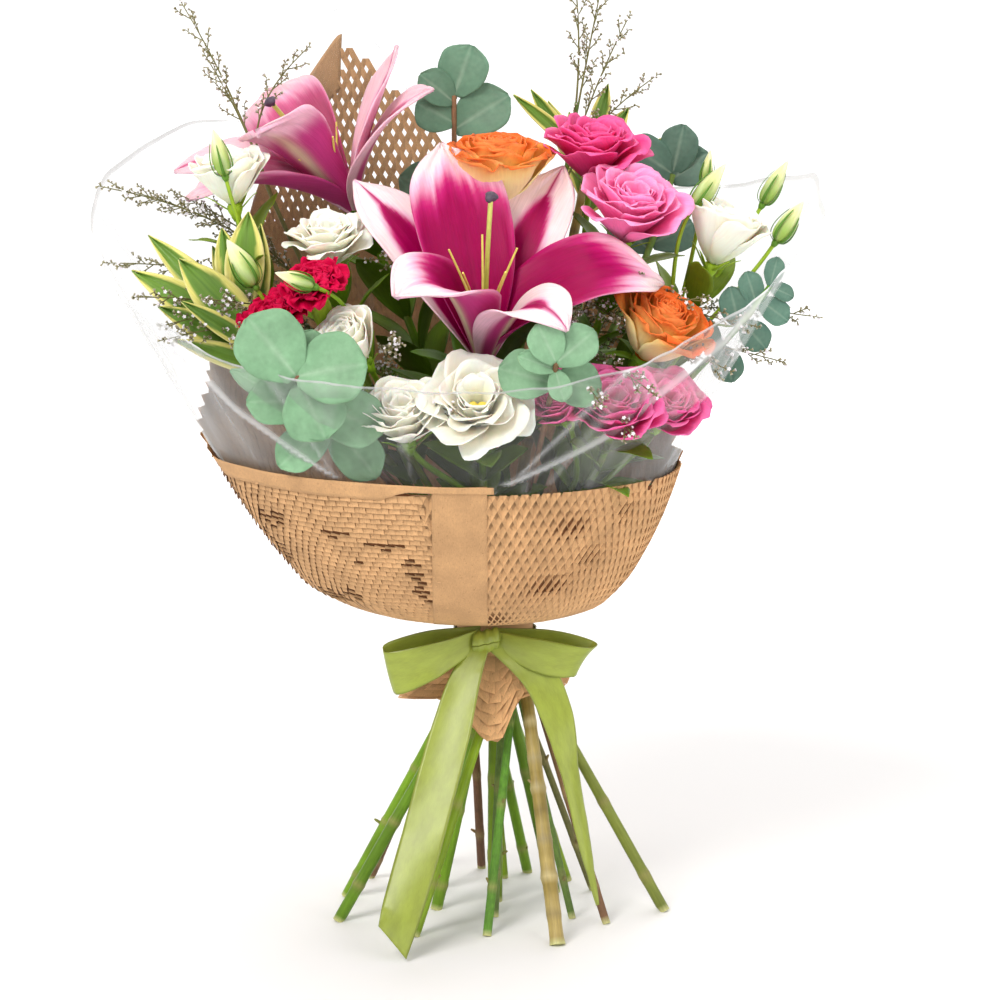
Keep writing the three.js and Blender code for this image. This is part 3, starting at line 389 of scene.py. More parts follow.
def living(name, veins, mottle, rough, bump, **finish):
    """Plant tissue: the tint with fine veins along the grain, a soft mottle, and both in the relief.
    veins is (scale across, scale along, strength), mottle (scale, strength)."""
    material, tree, shader = nodes_of(name, **finish)
    grain = attribute(tree, "grain", "Vector")
    lines = noise(tree, stretched(tree, grain, veins[0], veins[1], 3.7), 1, 4, 0.6)
    patches = noise(tree, grain, mottle[0], 3)
    colour = toned(
        tree, attribute(tree, "tint", "Color"), (lines, 1 - veins[2], 1 + veins[2]),
        (patches, 1 - mottle[1], 1 + mottle[1]),
    )
    tree.links.new(colour, shader.inputs["Base Color"])
    tree.links.new(ranged(tree, patches, 0.3, 0.7, rough - 0.06, rough + 0.06), shader.inputs["Roughness"])
    bumped(tree, shader, lines, bump)
    return material


# The blooms, stems and wraps, with the same measures as the solids
BLOOMS = {
    "lily_front_petals": dict(
        kind="lily", at=(-6, -46, 316), aim=(0, -0.5, 0.87),
        tepals=[
            (105, 56, 26, 126, 0.6), (136, 66, 12, 124, 0.6), (222, 26, 100, 106, 1.6), (64, 74, 1, 122, 0.6),
            (12, 98, 53, 126, 0.9), (-51, 34, 104, 105, 1.2),
        ],
    ),
    "lily_back_petals": dict(
        kind="lily", at=(-78, 28, 392), aim=(-0.5, -0.25, 0.83),
        tepals=[
            (167, 47, 39, 94, 1.1), (63, 60, -16, 98, 0.6), (-44, 26, 56, 98, 1.4), (42, 73, 24, 98, 0.6),
            (262, 60, 30, 101, 0.6), (225, 72, 32, 112, 1.2),
        ],
    ),
}
for row in (
    ("rose_top_petals", "rose", (1, -6, 399), (0.02, -0.16, 0.98), 60, 1, 0),
    ("rose_right_petals", "rose", (80, -44, 320), (0.42, -0.4, 0.82), 58, 2, 0),
    ("white_far_petals", "lisianthus", (-141, -32, 402), (-0.12, -0.2, 0.97), 39, 3, 0.35),
    ("white_mid_petals", "lisianthus", (-88, -36, 369), (-0.05, -0.35, 0.93), 37, 4, 0.8),
    ("white_side_petals", "lisianthus", (-70, -74, 322), (-0.5, -0.5, 0.7), 38, 5, 0.25),
    ("white_cup_petals", "lisianthus", (-46, -88, 281), (-0.12, -0.5, 0.86), 41, 6, 0.6),
    ("white_open_petals", "lisianthus", (-8, -90, 290), (-0.05, -0.74, 0.67), 46, 7, 1),
    ("white_right_petals", "lisianthus", (119, -18, 368), (0.36, -0.1, 0.93), 46, 8, 0.2),
    ("pink_back_petals", "lisianthus", (53, 14, 411), (0.12, -0.3, 0.94), 46, 9, 0.8),
    ("pink_high_petals", "lisianthus", (71, -22, 381), (0.2, -0.42, 0.88), 50, 10, 0.7),
    ("pink_dark_petals", "lisianthus", (38, -80, 292), (-0.3, -0.64, 0.7), 34, 11, 0.4),
    ("pink_low_petals", "lisianthus", (62, -76, 284), (0.1, -0.62, 0.78), 44, 12, 0.6),
    ("pink_edge_petals", "lisianthus", (88, -50, 284), (0.3, -0.62, 0.72), 38, 13, 0.6),
    ("carnation_high_petals", "carnation", (-94, -70, 354), (-0.2, -0.5, 0.84), 30, 14, 0),
    ("carnation_low_petals", "carnation", (-113, -68, 336), (-0.4, -0.45, 0.8), 32, 15, 0),
):
    BLOOMS[row[0]] = dict(zip(("kind", "at", "aim", "size", "seed", "open"), row[1:]))

STEMS = {
    "stem_rose_top": dict(foot=0, r=3.7, bloom="rose_top_petals", color=0x5F8A2A),
    "stem_lily_back": dict(foot=38, r=3, bloom="lily_back_petals", color=0x4D7A25),
    "stem_carnations": dict(
        foot=46, r=2.2, bloom="carnation_high_petals", color=0x6D9A35,
        shoots=[dict(at=0.6, r=1.6, bloom="carnation_low_petals")],
    ),
    "stem_lily_front": dict(foot=42, r=3.1, bloom="lily_front_petals", color=0x3F6F22),
    "stem_pink_high": dict(
        foot=37, r=3, bloom="pink_high_petals", color=0x5F9430,
        shoots=[dict(at=0.45, r=2, bloom="pink_back_petals")], leaves=[((44, -2, 294), (87, -8, 306), 16)],
    ),
    "eucalyptus_high": dict(
        foot=30, r=2.6, end=(100, 42, 412), aim=(0.2, 0, 0.98),
        leaves=[
            ((100, 42, 410), (120, 40, 424), 25), ((99, 42, 412), (73, 30, 430), 24),
            ((101, 42, 415), (106, 40, 440), 22), ((86, 40, 372), (112, 48, 384), 26),
            ((84, 40, 370), (66, 44, 388), 24),
        ],
    ),
    "sea_lavender_right": dict(
        foot=55, r=1.8, end=(46, 44, 452), aim=(0.1, 0, 0.99),
        sprays=[
            dict(at=0.9, tips=[(43, 40, 532), (60, 42, 520)]),
            dict(at=0.8, tips=[(72, 44, 494), (84, 46, 462)]),
            dict(at=0.5, tips=[(50, -44, 360), (62, -62, 344), (74, -52, 366)]),
            dict(at=0.35, tips=[(168, -24, 340), (150, -40, 318)]),
        ],
    ),
    "striped_leaves_back": dict(
        foot=89, r=3.5, end=(54, 56, 424), aim=(0.15, 0, 0.98),
        blades=[
            (0.86, (100, 48, 434), 16), (0.9, (42, 62, 446), 13), (0.93, (30, 62, 452), 12),
            (0.95, (20, 56, 459), 11), (0.96, (76, 64, 448), 13), (0.98, (10, 54, 456), 9),
            (0.99, (64, 58, 462), 11),
        ],
    ),
    "eucalyptus_top": dict(
        foot=76, r=2, end=(-23, 40, 456), aim=(0, 0, 1),
        leaves=[
            ((-24, 40, 439), (8, 38, 456), 29), ((-24, 40, 440), (-44, 38, 452), 25),
            ((-23, 40, 455), (-13, 40, 484), 29), ((-23, 40, 454), (-42, 34, 468), 20),
            ((-27, 42, 400), (-2, 46, 414), 26), ((-28, 42, 400), (-54, 44, 410), 26),
        ],
    ),
    "striped_leaves_left": dict(
        foot=98, r=2.8, end=(-138, -44, 342), aim=(-0.55, -0.1, 0.83),
        blades=[
            (0.8, (-173, -60, 331), 14), (0.84, (-182, -50, 348), 18), (0.87, (-168, -62, 352), 12),
            (0.9, (-197, -38, 366), 20), (0.9, (-170, -52, 374), 25), (0.93, (-189, -25, 384), 16),
            (0.95, (-126, -42, 392), 16), (0.96, (-153, -35, 379), 13), (0.98, (-147, -45, 390), 18),
            (0.99, (-132, -48, 399), 22),
        ],
    ),
    "sea_lavender_left": dict(
        foot=60, r=1.7, end=(-134, 12, 430), aim=(-0.3, 0.1, 0.95),
        sprays=[
            dict(at=0.95, tips=[(-170, 20, 503), (-156, 20, 472), (-109, 25, 478)]),
            dict(at=0.6, tips=[(-205, -22, 408), (-190, -12, 404), (-168, -8, 402)]),
            dict(at=0.5, tips=[(-202, -40, 370), (-172, -60, 340)]),
            dict(at=0.42, tips=[(-186, -62, 354), (-146, -76, 352)]),
        ],
    ),
    "stem_white_far": dict(
        foot=58, r=2.6, bloom="white_far_petals", color=0x6D9A35,
        buds=[
            dict(at=0.7, foot=(-144, -52, 418), tip=(-150, -54, 443), width=9),
            dict(at=0.55, foot=(-128, -62, 360), tip=(-143, -60, 385), width=12),
        ],
    ),
    "stem_white_mid": dict(
        foot=60, r=2.6, bloom="white_mid_petals", color=0x5F9430,
        shoots=[dict(at=0.5, r=1.8, bloom="white_side_petals")],
        buds=[
            dict(at=0.7, foot=(-95, -92, 363), tip=(-115, -98, 371), width=8),
        ],
    ),
    "eucalyptus_left": dict(
        foot=66, r=2.2, end=(-103, -118, 319), aim=(-0.3, -0.62, 0.72),
        leaves=[
            ((-104, -121, 322), (-128, -119, 350), 38), ((-102, -121, 321), (-66, -121, 326), 39),
            ((-102, -116, 312), (-88, -120, 286), 34), ((-102, -114, 314), (-94, -108, 342), 24),
            ((-98, -108, 298), (-130, -108, 304), 26), ((-97, -108, 298), (-58, -106, 288), 31),
            ((-92, -100, 280), (-114, -98, 268), 24), ((-91, -100, 280), (-62, -98, 262), 26),
            ((-88, -90, 290), (-124, -88, 340), 14), ((-88, -90, 288), (-140, -86, 318), 14),
        ],
    ),
    "stem_white_low": dict(
        foot=84, r=2.8, bloom="white_open_petals", color=0x5F9430,
        shoots=[dict(at=0.5, r=2, bloom="white_cup_petals")],
    ),
    "eucalyptus_front": dict(
        foot=86, r=2, end=(32, -118, 326), aim=(0.1, -0.6, 0.79),
        leaves=[
            ((33, -119, 330), (22, -121, 347), 20), ((33, -119, 329), (52, -119, 343), 22),
            ((31, -117, 322), (12, -121, 330), 12), ((31, -117, 322), (36, -121, 306), 13),
            ((28, -110, 314), (2, -110, 322), 27), ((29, -110, 313), (56, -108, 312), 25),
        ],
    ),
    "stem_pink_low": dict(
        foot=86, r=2.8, bloom="pink_low_petals", color=0x5F9430,
        shoots=[
            dict(at=0.5, r=1.8, bloom="pink_dark_petals"), dict(at=0.45, r=1.8, bloom="pink_edge_petals"),
        ],
    ),
    "stem_rose_right": dict(foot=96, r=2.9, bloom="rose_right_petals", color=0x4F7F2B),
    "stem_white_right": dict(
        foot=80, r=2.8, bloom="white_right_petals", color=0x6D9A35,
        buds=[
            dict(at=0.7, foot=(108, -20, 398), tip=(126, -16, 422), width=10),
            dict(at=0.7, foot=(148, 6, 398), tip=(162, 8, 422), width=9),
            dict(at=0.55, foot=(153, -24, 380), tip=(168, -22, 402), width=10),
            dict(at=0.65, foot=(116, 8, 408), tip=(119, 8, 428), width=6),
        ],
    ),
    "eucalyptus_right": dict(
        foot=66, r=2.2, end=(150, -27, 356), aim=(0.55, 0, 0.83),
        leaves=[
            ((133, -28, 334), (128, -28, 356), 17), ((134, -28, 335), (148, -30, 322), 17),
            ((144, -27, 347), (137, -26, 364), 14), ((145, -27, 348), (160, -28, 337), 15),
            ((150, -27, 355), (154, -26, 372), 11), ((150, -27, 355), (163, -26, 350), 10),
            ((122, -28, 322), (104, -32, 337), 18), ((122, -28, 322), (130, -32, 304), 18),
        ],
    ),
}

PAPER_REACH = [
    (168, 21.4), (169, 36), (171, 52), (175, 68), (181, 79), (190, 90), (210, 104), (233, 118), (255, 128),
    (277, 139), (330, 146), (400, 142), (490, 132),
]
PAPER_SHIFT = [
    (168, 0), (171, -8), (188, -16), (277, -28), (490, -28),
]
PAPER_RIM = [
    (0, 259), (20, 270), (40, 318), (67, 385), (91, 430), (103, 458), (117, 492), (131, 450), (150, 338),
    (165, 290), (180, 272), (200, 264), (270, 260), (330, 256), (360, 259),
]
FILM_RIM = [
    (0, 390), (15, 412), (35, 400), (60, 398), (90, 420), (120, 440), (145, 436), (160, 412), (180, 367),
    (200, 350), (225, 325), (250, 314), (290, 312), (315, 330), (340, 365), (360, 390),
]
COLLAR_REACH = [
    (0, 40), (45, 38), (90, 41), (135, 40), (180, 44), (205, 58), (235, 43), (262, 41.5), (275, 41.5),
    (290, 38), (320, 42), (360, 40),
]
COLLAR_Z = [
    (0, 135), (45, 136), (90, 127), (135, 131), (180, 131), (205, 124), (235, 128), (262, 104), (275, 104),
    (290, 130), (320, 128), (360, 135),
]
RIBBON_STRIPS = [
    dict(
        centres=[
            (-8, -31, 161), (-34, -46, 151), (-57, -45, 144), (-59, -38, 146), (-42, -31, 154),
            (-8, -28, 162),
        ],
        sides=[(0, 0, 5), (-1, 0, 10), (-3, 0, 12), (-3, 0, 12), (0, 0, 10), (0, 0, 5)],
    ),
    dict(
        centres=[
            (-2, -31, 160), (22, -44, 154), (45, -44, 150), (50, -38, 151), (32, -31, 156),
            (-2, -28, 161),
        ],
        sides=[(0, 0, 5), (2, 0, 9), (6, 0, 8.5), (6, 0, 8.5), (2, 0, 9), (0, 0, 5)],
    ),
    dict(
        centres=[
            (-8, -33, 160), (-16, -42, 142), (-26, -60, 108), (-38, -82, 66), (-49, -102, 30),
            (-55, -112, 11),
        ],
        sides=[(6, -1, 0), (9, -1, 1), (12, -1, 2), (12.3, -1, 2), (11, -1, -2), (7.5, -1, -9)],
    ),
    dict(
        centres=[
            (-2, -33, 161), (22, -42, 145), (34, -50, 122), (42, -60, 90), (50, -72, 52),
            (56, -80, 22),
        ],
        sides=[(4, 0, 4), (7, 1, 7), (8, 2, 4), (4.5, 4, 2), (3, 3, 1), (0.8, 1, 0)],
    ),
]

INNER = [
    "stem_lily_back", "stem_carnations", "stem_lily_front", "stem_pink_high", "eucalyptus_high",
    "sea_lavender_right",
]
OUTER = [
    "striped_leaves_back", "eucalyptus_top", "striped_leaves_left", "sea_lavender_left", "stem_white_far",
    "stem_white_mid", "eucalyptus_left", "stem_white_low", "eucalyptus_front", "stem_pink_low",
    "stem_rose_right", "stem_white_right", "eucalyptus_right",
]


# The routes of the stems, bent clear of each other by the same rule as in the solids
def end_of(item):
    """Where a stem or shoot ends and which way it points there; under a bloom it stops a gap short."""
    bloom = BLOOMS.get(item.get("bloom"))
    at, aim = (bloom["at"], bloom["aim"]) if bloom else (item["end"], item["aim"])
    way = unit(aim)
    return np.asarray(at, float) + way * (-GAP if bloom else 0), way


def route_to(start, leaving, end, way, r):
    reach = np.linalg.norm(end - start)
    points = bezier([start, start + leaving * reach * 0.34, end - way * reach * 0.3, end], ROUTE_POINTS + 1)
    return {"points": points, "r": r}


def place_stem(name, turn, ring):
    """A stem: its foot on the floor, its waist at an angle and radius in the tie, and its route from there."""
    stem = STEMS[name]
    waist = np.array([ring * math.cos(turn), ring * math.sin(turn), TIE_Z])
    back = turn - math.acos(ring / max(stem["foot"], ring, 1))
    foot = np.array([stem["foot"] * math.cos(back), stem["foot"] * math.sin(back), 0])
    leaving = unit(waist - foot)
    end, way = end_of(stem)
    route = route_to(waist, leaving, end, way, stem["r"])
    return {"name": name, "foot": foot, "waist": waist, "leaving": leaving, **route}


def place_stems():
    stems = [place_stem("stem_rose_top", 0, 0)]
    for k, name in enumerate(INNER):
        stems.append(place_stem(name, math.radians(105) + k * math.pi / 3, INNER_R))
    radii = [STEMS[name]["r"] for name in OUTER]
    room = 2 * sum(radii) + len(OUTER) * SPARE
    turn = math.radians(14)
    for k, name in enumerate(OUTER):
        stems.append(place_stem(name, turn, BUNCH_R - radii[k]))
        turn += TAU * (radii[k] + radii[(k + 1) % len(radii)] + SPARE) / room
    return stems


def spots_on(route):
    """Places along a route, counted in its points, and the spots there."""
    t, p = [], []
    for k in range(ROUTE_POINTS):
        a, b = route["points"][k], route["points"][k + 1]
        n = math.ceil(np.linalg.norm(b - a) / 4)
        share = np.arange(n) / n
        t.append(k + share)
        p.append(a + (b - a) * share[:, None])
    return np.concatenate(t), np.concatenate(p)


def closest(a, b, spots_a, spots_b, need):
    """Distance, places and spots where two routes are nearest, if they are closer there than they need."""
    joined = a.get("parent", a) is b.get("parent", b)
    (ta, pa), (tb, pb) = spots_a, spots_b
    if np.any(pa.min(0) - need > pb.max(0)) or np.any(pb.min(0) - need > pa.max(0)):
        return None
    gap = np.linalg.norm(pa[:, None] - pb[None], axis=-1)
    if joined:
        gap[(ta[:, None] < 2) | (tb[None] < 2)] = 1e9
    else:
        gap[(ta[:, None] < 0.25) & (tb[None] < 0.25)] = 1e9
    i, j = np.unravel_index(np.argmin(gap), gap.shape)
    return (gap[i, j], ta[i], pa[i], tb[j], pb[j]) if gap[i, j] < need else None


def bend(route, t, push):
    for k in range(1, ROUTE_POINTS - 1):
        route["points"][k] = route["points"][k] + push * max(0, 1 - abs(t - k) / 2)


def settle(free, fixed):
    """Pushes the free routes apart and away from the fixed ones, in 60 rounds."""
    every = [*free, *fixed]
    for _ in range(60):
        spots = [spots_on(route) for route in every]
        for i, a in enumerate(free):
            for j in range(i + 1, len(every)):
                b = every[j]
                need = a["r"] + b["r"] + 1.2
                pair = closest(a, b, spots[i], spots[j], need)
                if not pair:
                    continue
                least, ta, pa, tb, pb = pair
                push = pa - pb
                if np.dot(push, push) < 1e-6:
                    push = np.array([0.3, 0.2, 0.1])
                push = unit(push) * (need - least) * (0.5 if j < len(free) else 1)
                bend(a, ta, push)
                if j < len(free):
                    bend(b, tb, -push)


def place_shoots(stems):
    shoots = []
    for route in stems:
        stem = STEMS[route["name"]]
        wanted = [(s["at"], *end_of(s), s["r"]) for s in stem.get("shoots", [])]
        for bud in stem.get("buds", []):
            way = unit(np.subtract(bud["tip"], bud["foot"]))
            wanted.append((bud["at"], np.asarray(bud["foot"], float), way, 1.3))
        for share, end, way, r in wanted:
            start = at_shares(route["upper"], share)[0]
            leaving = tangent_at(route["upper"], share)
            shoots.append({"name": route["name"], "parent": route, **route_to(start, leaving, end, way, r)})
    return shoots


STEM_ROUTES = place_stems()
settle(STEM_ROUTES, [])
for route in STEM_ROUTES:
    foot, waist = route["foot"], route["waist"]
    low = [lerp(foot, waist, k / 3) for k in (0, 1, 2)]
    route["upper"] = catmull(route["points"])
    route["curve"] = catmull([*low, *route["points"]])
SHOOTS = place_shoots(STEM_ROUTES)
settle(SHOOTS, STEM_ROUTES)
for shoot in SHOOTS:
    shoot["upper"] = catmull(shoot["points"])


# Petals and leaves
PLAIN = dict(
    turn=0, ease=1, curl=0, cupped=False, start=(0, 0), base=0.3, widest=0.6, blunt=2, tip=0.08, skew=0,
    wave=0, waves=2, swell=0, phase=0, ruffle=0, ruffles=5, rib=0, fringe=0, seed=0,
)
LEAF_FACE = (0, -1, 0.35)


def petal_rows(frame_, across, down, **given):
    """Points of a petal with u across and v along, its grain, and u and v as arrays.
    It leans by the angles of lean as it rises from start, and bends across with a radius of bow; a cupped
    one takes its radius from the whorl. base, widest, blunt and tip give the outline; skew, wave, swell,
    ruffle, rib and fringe the relief."""
    p = SimpleNamespace(**{**PLAIN, **given})
    u = np.linspace(-1, 1, across + 1)[:, None]
    v = np.linspace(0, 1, down + 1)[None, :]
    s = np.linspace(0, 1, 161)
    lean = np.radians(lerp(*p.lean, s ** p.ease) + p.curl * s**4)
    r_line, h_line = (
        origin + np.concatenate([[0], np.cumsum((way[1:] + way[:-1]) / 2)]) * (p.length / 160)
        for origin, way in zip(p.start, (np.sin(lean), np.cos(lean)))
    )
    reach = np.clip(v + p.fringe * v**6 * waves(p.seed + 5, 9 * u) * (1 - 0.4 * u * u), 0, 1)
    r, h, a = (np.interp(reach, s, line) for line in (r_line, h_line, lean))
    rise = (1 - p.base) * np.sin(math.pi / 2 * np.clip(v / p.widest, 0, 1))
    fall = np.clip((v - p.widest) / (1 - p.widest), 0, 1) ** p.blunt
    share = np.where(v < p.widest, p.base + rise, p.tip + (1 - p.tip) * np.cos(math.pi / 2 * fall))
    half = p.width / 2 * share
    whorl = np.maximum(r, 3) / np.maximum(0.35, np.cos(a)) if p.cupped else 1
    bow = lerp(*p.bow, v) * whorl
    turn = np.minimum(1.7, half / bow) * u
    lift = bow * (1 - np.cos(turn)) + p.skew * u * half
    lift = lift + p.wave * v * v * np.sin(p.waves * math.pi * u + p.phase)
    lift = lift + p.swell * u * u * v * np.sin(3 * math.pi * v + p.phase)
    edge = np.maximum(np.abs(u) ** 3 * smoothstep(0.25, 0.7, v), smoothstep(0.6, 1, v))
    rim = p.ruffles * (u * 1.6 + np.sign(u) * v * 1.2)
    lift = lift + p.ruffle * edge * waves(p.seed + 1, rim * 2.2)
    lift = lift - p.rib * np.exp(-((u / 0.07) ** 2)) * (1 - v)
    rows = xyz(r - lift * np.cos(a), bow * np.sin(turn), h + lift * np.sin(a))
    grain = xyz(u * half, v * p.length, p.seed)
    return placed(spun(rows, p.turn), frame_), grain, *np.broadcast_arrays(u, v)


def leaf_frame(base, tip, face):
    z = unit(np.subtract(tip, base))
    x = -np.asarray(face, float)
    x = unit(x - z * np.dot(x, z))
    return np.asarray(base, float), np.stack([x, np.cross(z, x), z])


def leaf_rows(leaf, face, fine, seed, fold, **more):
    """Points of a leaf, given as base, tip and width, whose upper side faces face."""
    base, end, width = leaf
    shape = dict(
        length=np.linalg.norm(np.subtract(end, base)), width=width, lean=(-fold, fold), base=0.1,
        bow=(width, width * 1.6), seed=seed, rib=0.35, tip=0.03,
    )
    return petal_rows(leaf_frame(base, end, face), *FINE[fine], **{**shape, **more})


def leafy_stem(form, route, stem, tint, woody):
    """The stem itself, with swollen joints, small scars and a pale cut end; a woody one has ringed bark."""
    place = np.linspace(0, 1, STATIONS)
    path = at_shares(route["curve"], place)
    seed = draw(3.1, len(route["name"]) + stem["foot"])
    joints = (np.arange(9) + 0.3 + 0.5 * seed) / 9
    swell = sum(np.exp(-(((place - j) / 0.006) ** 2)) for j in joints)
    top = 1 - 0.28 * smoothstep(0.35, 1, place)
    radii = stem["r"] * top * (1 + 0.14 * swell) * (1 + 0.14 * smoothstep(0.3, 0.1, place))
    shade = 1 + 0.16 * waves(seed, place * 30)[:, None] + 0.12 * swell[:, None]
    colour = blend(tint * 0.75, (tint, smoothstep(0.04, 0.4, place) * 0.8 + 0.2)) * shade
    colour = blend(colour, (0x9A8A5C, np.clip(swell, 0, 1) * 0.55))
    if woody:
        rings = smoothstep(0.6, 1, np.sin(place * 170 + 3 * waves(seed, place * 9)))
        bark = blend(0x8E7A3A, (0xB9A468, 0.5 + 0.5 * waves(seed + 2, place * 60)))
        scars = blend(0x4E3C1C, (0xCDBD8C, draw(seed, np.floor(place * 27))))
        colour = blend(bark, (scars, rings * 0.85))
        radii = radii * (1.02 + 0.1 * rings + 0.05 * waves(seed + 4, place * 44))
    colour[0] = rgb(0xC9C88A)
    form.tube(path, radii, 14, colour, seed=seed)
    for k, joint in enumerate(joints[:5]):
        i = int(joint * (STATIONS - 1))
        turn = PHASE * draw(seed, k)
        out = unit(np.array([math.cos(turn), math.sin(turn), 0.5 + draw(seed, k + 9)]))
        stub = path[i] + out * np.linspace(0.6 * radii[i], radii[i] + 1 + 3 * draw(seed, k + 5), 5)[:, None]
        form.tube(stub, [1.3, 1.1, 0.9, 0.8, 0.5], 7, blend(colour[i], (0x8A7044, np.full(5, 0.5))))


def shoot_bars(form, route, tint):
    for shoot in SHOOTS:
        if shoot["name"] == route["name"]:
            path = at_shares(shoot["upper"], np.linspace(0, 1, 40))
            form.tube(path, shoot["r"] * np.linspace(1.05, 0.82, 40), 10, tint * 1.1)


# The green cup under each kind of bloom, in (radius, height) pairs, and its five sepals: their shade against
# the cup, length, width, spread in degrees and curl
CUPS = dict(
    lily=([(2.9, -14), (3.3, -8), (4.2, -3), (3.8, 0)],),
    rose=([(2.9, -12), (4.4, -9), (5.6, -6), (5.2, -2), (4, 0)], (1, 20, 6.5, 100, 30)),
    lisianthus=([(1.7, -10), (2.7, -7), (4, -4), (4.2, -1.5), (3.2, 0)], (0.8, 17, 2.6, 36, 34)),
    carnation=([(1.7, -20), (4.4, -17), (5.3, -12), (5.9, -6), (5.4, -1), (4.2, 0)], (1, 9, 5, 14, 10)),
)


def cup(form, bloom, tint):
    outline, *sepals = CUPS[bloom["kind"]]
    turned(form, bloom_frame(bloom, GAP), outline, 16, tint, 1)
    for shade, length, width, spread, curl in sepals:
        for i in range(5):
            rows, grain, u, v = petal_rows(
                bloom_frame(bloom, 4.5), 4, 12, turn=TAU * (i + 0.2 * draw(4.2, i)) / 5, length=length,
                width=width, lean=(62, spread), curl=curl, start=(2.2, 0), base=0.8, widest=0.2, blunt=1.1,
                bow=(3, 6), ease=0.5, seed=i, tip=0.02,
            )
            green = tint * shade
            form.sheet(rows, THICK["leaf"], grain, blend(green, (green * 1.35, v)), kind=1)


def bud_form(form, bud, seed):
    """A closed bud: its petals furled in a spiral, with long narrow sepals held against it."""
    foot, tip = np.asarray(bud["foot"], float), np.asarray(bud["tip"], float)
    long, width = np.linalg.norm(tip - foot), bud["width"]
    frame_ = frame_at(foot, tip - foot)

    def belly(s):
        return np.sin(math.pi * s**0.62) ** 0.8

    turn = np.linspace(0, TAU, 25)[:-1, None]
    s = np.linspace(0, 1, 22)[None, :]
    spiral = np.sin(3 * turn + 5 * s)
    r = (width * 0.5 * belly(s) + 0.5 * (1 - s)) * (1 + 0.11 * spiral * smoothstep(0.15, 0.6, s))
    light = smoothstep(0.6, 1, s) * 0.6 + 0.2 * spiral
    tint = blend(0x8FB04A, (0xDDE3A0, smoothstep(0.2, 0.75, s) + 0 * turn), (0xF2F1D8, light))
    form.grid(placed(around(turn, r, long * s), frame_), xyz(turn * width / 2, long * s, seed), tint, 2)
    turned(form, frame_, [(1.2, -3), (1.9, -1.4), (2.2, 0.6), (1, 2)], 12, rgb(0x5E8A2C), 1)
    s = np.linspace(0, 1, 14)[None, :]
    u = np.linspace(-1, 1, 3)[:, None]
    for i in range(5):
        up = s * (0.55 + 0.25 * draw(seed, i))
        r = width * 0.56 * belly(np.maximum(up, 0.001)) + 0.9 * (1 - s) + 0.5
        turn = TAU * i / 5 + seed + u * 1.1 * (1 - s) ** 0.5 / (r + 1)
        rows = placed(around(turn, r, long * up), frame_)
        form.sheet(rows, THICK["sepal"], xyz(u, long * up, i), rgb(0x55822A), kind=1)


def pair_leaves(form, path, shares, length, width, tint, seed):
    """Pairs of pointed leaves up a stem."""
    for i, share in enumerate(shares):
        base = at_shares(path, share)[0]
        ahead = tangent_at(path, share)
        first = unit(np.cross(ahead, [0.2, 1, 0.1]))
        other = np.cross(ahead, first)
        for side in (0, 1):
            a = i * 1.7 + side * math.pi + seed
            out = first * math.cos(a) + other * math.sin(a)
            long = length * (0.8 + 0.4 * draw(seed, 7 * i + side))
            leaf = (base, base + unit(ahead * 0.75 + out * 0.8) * long, width)
            shape = dict(blunt=1.3, widest=0.42, ruffle=0.5)
            rows, grain, u, v = leaf_rows(leaf, ahead - out * 0.6, "pointed_leaf", seed + i, 20, **shape)
            shade = tint * (0.85 + 0.3 * draw(seed, i + side))
            colour = blend(shade, (shade * 1.25, np.abs(u) ** 4))
            form.sheet(rows, THICK["leaf"], grain, colour, shade * 1.15, 1)


def round_leaf(form, leaf, tint, seed):
    """A rounded eucalyptus leaf on a short stalk."""
    shape = dict(blunt=2.0, widest=0.52, tip=0.12, base=0.3, ruffle=0.6, ruffles=2)
    rows, grain, u, v = leaf_rows(leaf, LEAF_FACE, "round_leaf", seed, 7, **shape)
    veins = np.exp(-((u / 0.045) ** 2)) * (1 - 0.6 * v)
    for k in range(1, 6):
        lean = np.abs(u) - (v - 0.12 * k + 0.02) * 1.15
        veins = veins + 0.22 * np.exp(-((lean / 0.04) ** 2)) * smoothstep(0.02, 0.12, np.abs(u))
    shade = tint * (0.86 + 0.28 * draw(seed, 2))
    rim = smoothstep(0.9, 1, np.maximum(np.abs(u), v))
    colour = blend(shade, (0xB9CDB4, veins * 0.42), (0x8C9A72, rim * 0.6))
    form.sheet(rows, THICK["round_leaf"], grain, colour, blend(shade * 1.25, (0xBFD2BC, veins * 0.3)), 1)


def striped_leaf(form, leaf, face, seed):
    """A pointed green blade with yellow margins."""
    shape = dict(blunt=1.15, widest=0.5, ruffle=0.7, ruffles=2, wave=1.2)
    rows, grain, u, v = leaf_rows(leaf, face, "striped_leaf", seed, 14, **shape)
    edge = np.abs(u) + 0.09 * waves(seed, 7 * v + np.sign(u)) + 0.05 * waves(seed + 2, 40 * u, 3 * v)
    colour = blend(
        0x4A7812, (0x719A24, 0.5 + 0.5 * waves(seed + 1, 26 * u, v)), (0xE6DE76, smoothstep(0.6, 0.72, edge)),
        (0xF2ECA8, smoothstep(0.85, 1.0, edge) * 0.6),
    )
    form.sheet(rows, THICK["striped_leaf"], grain, colour, colour * 0.92 + 0.03, 1)


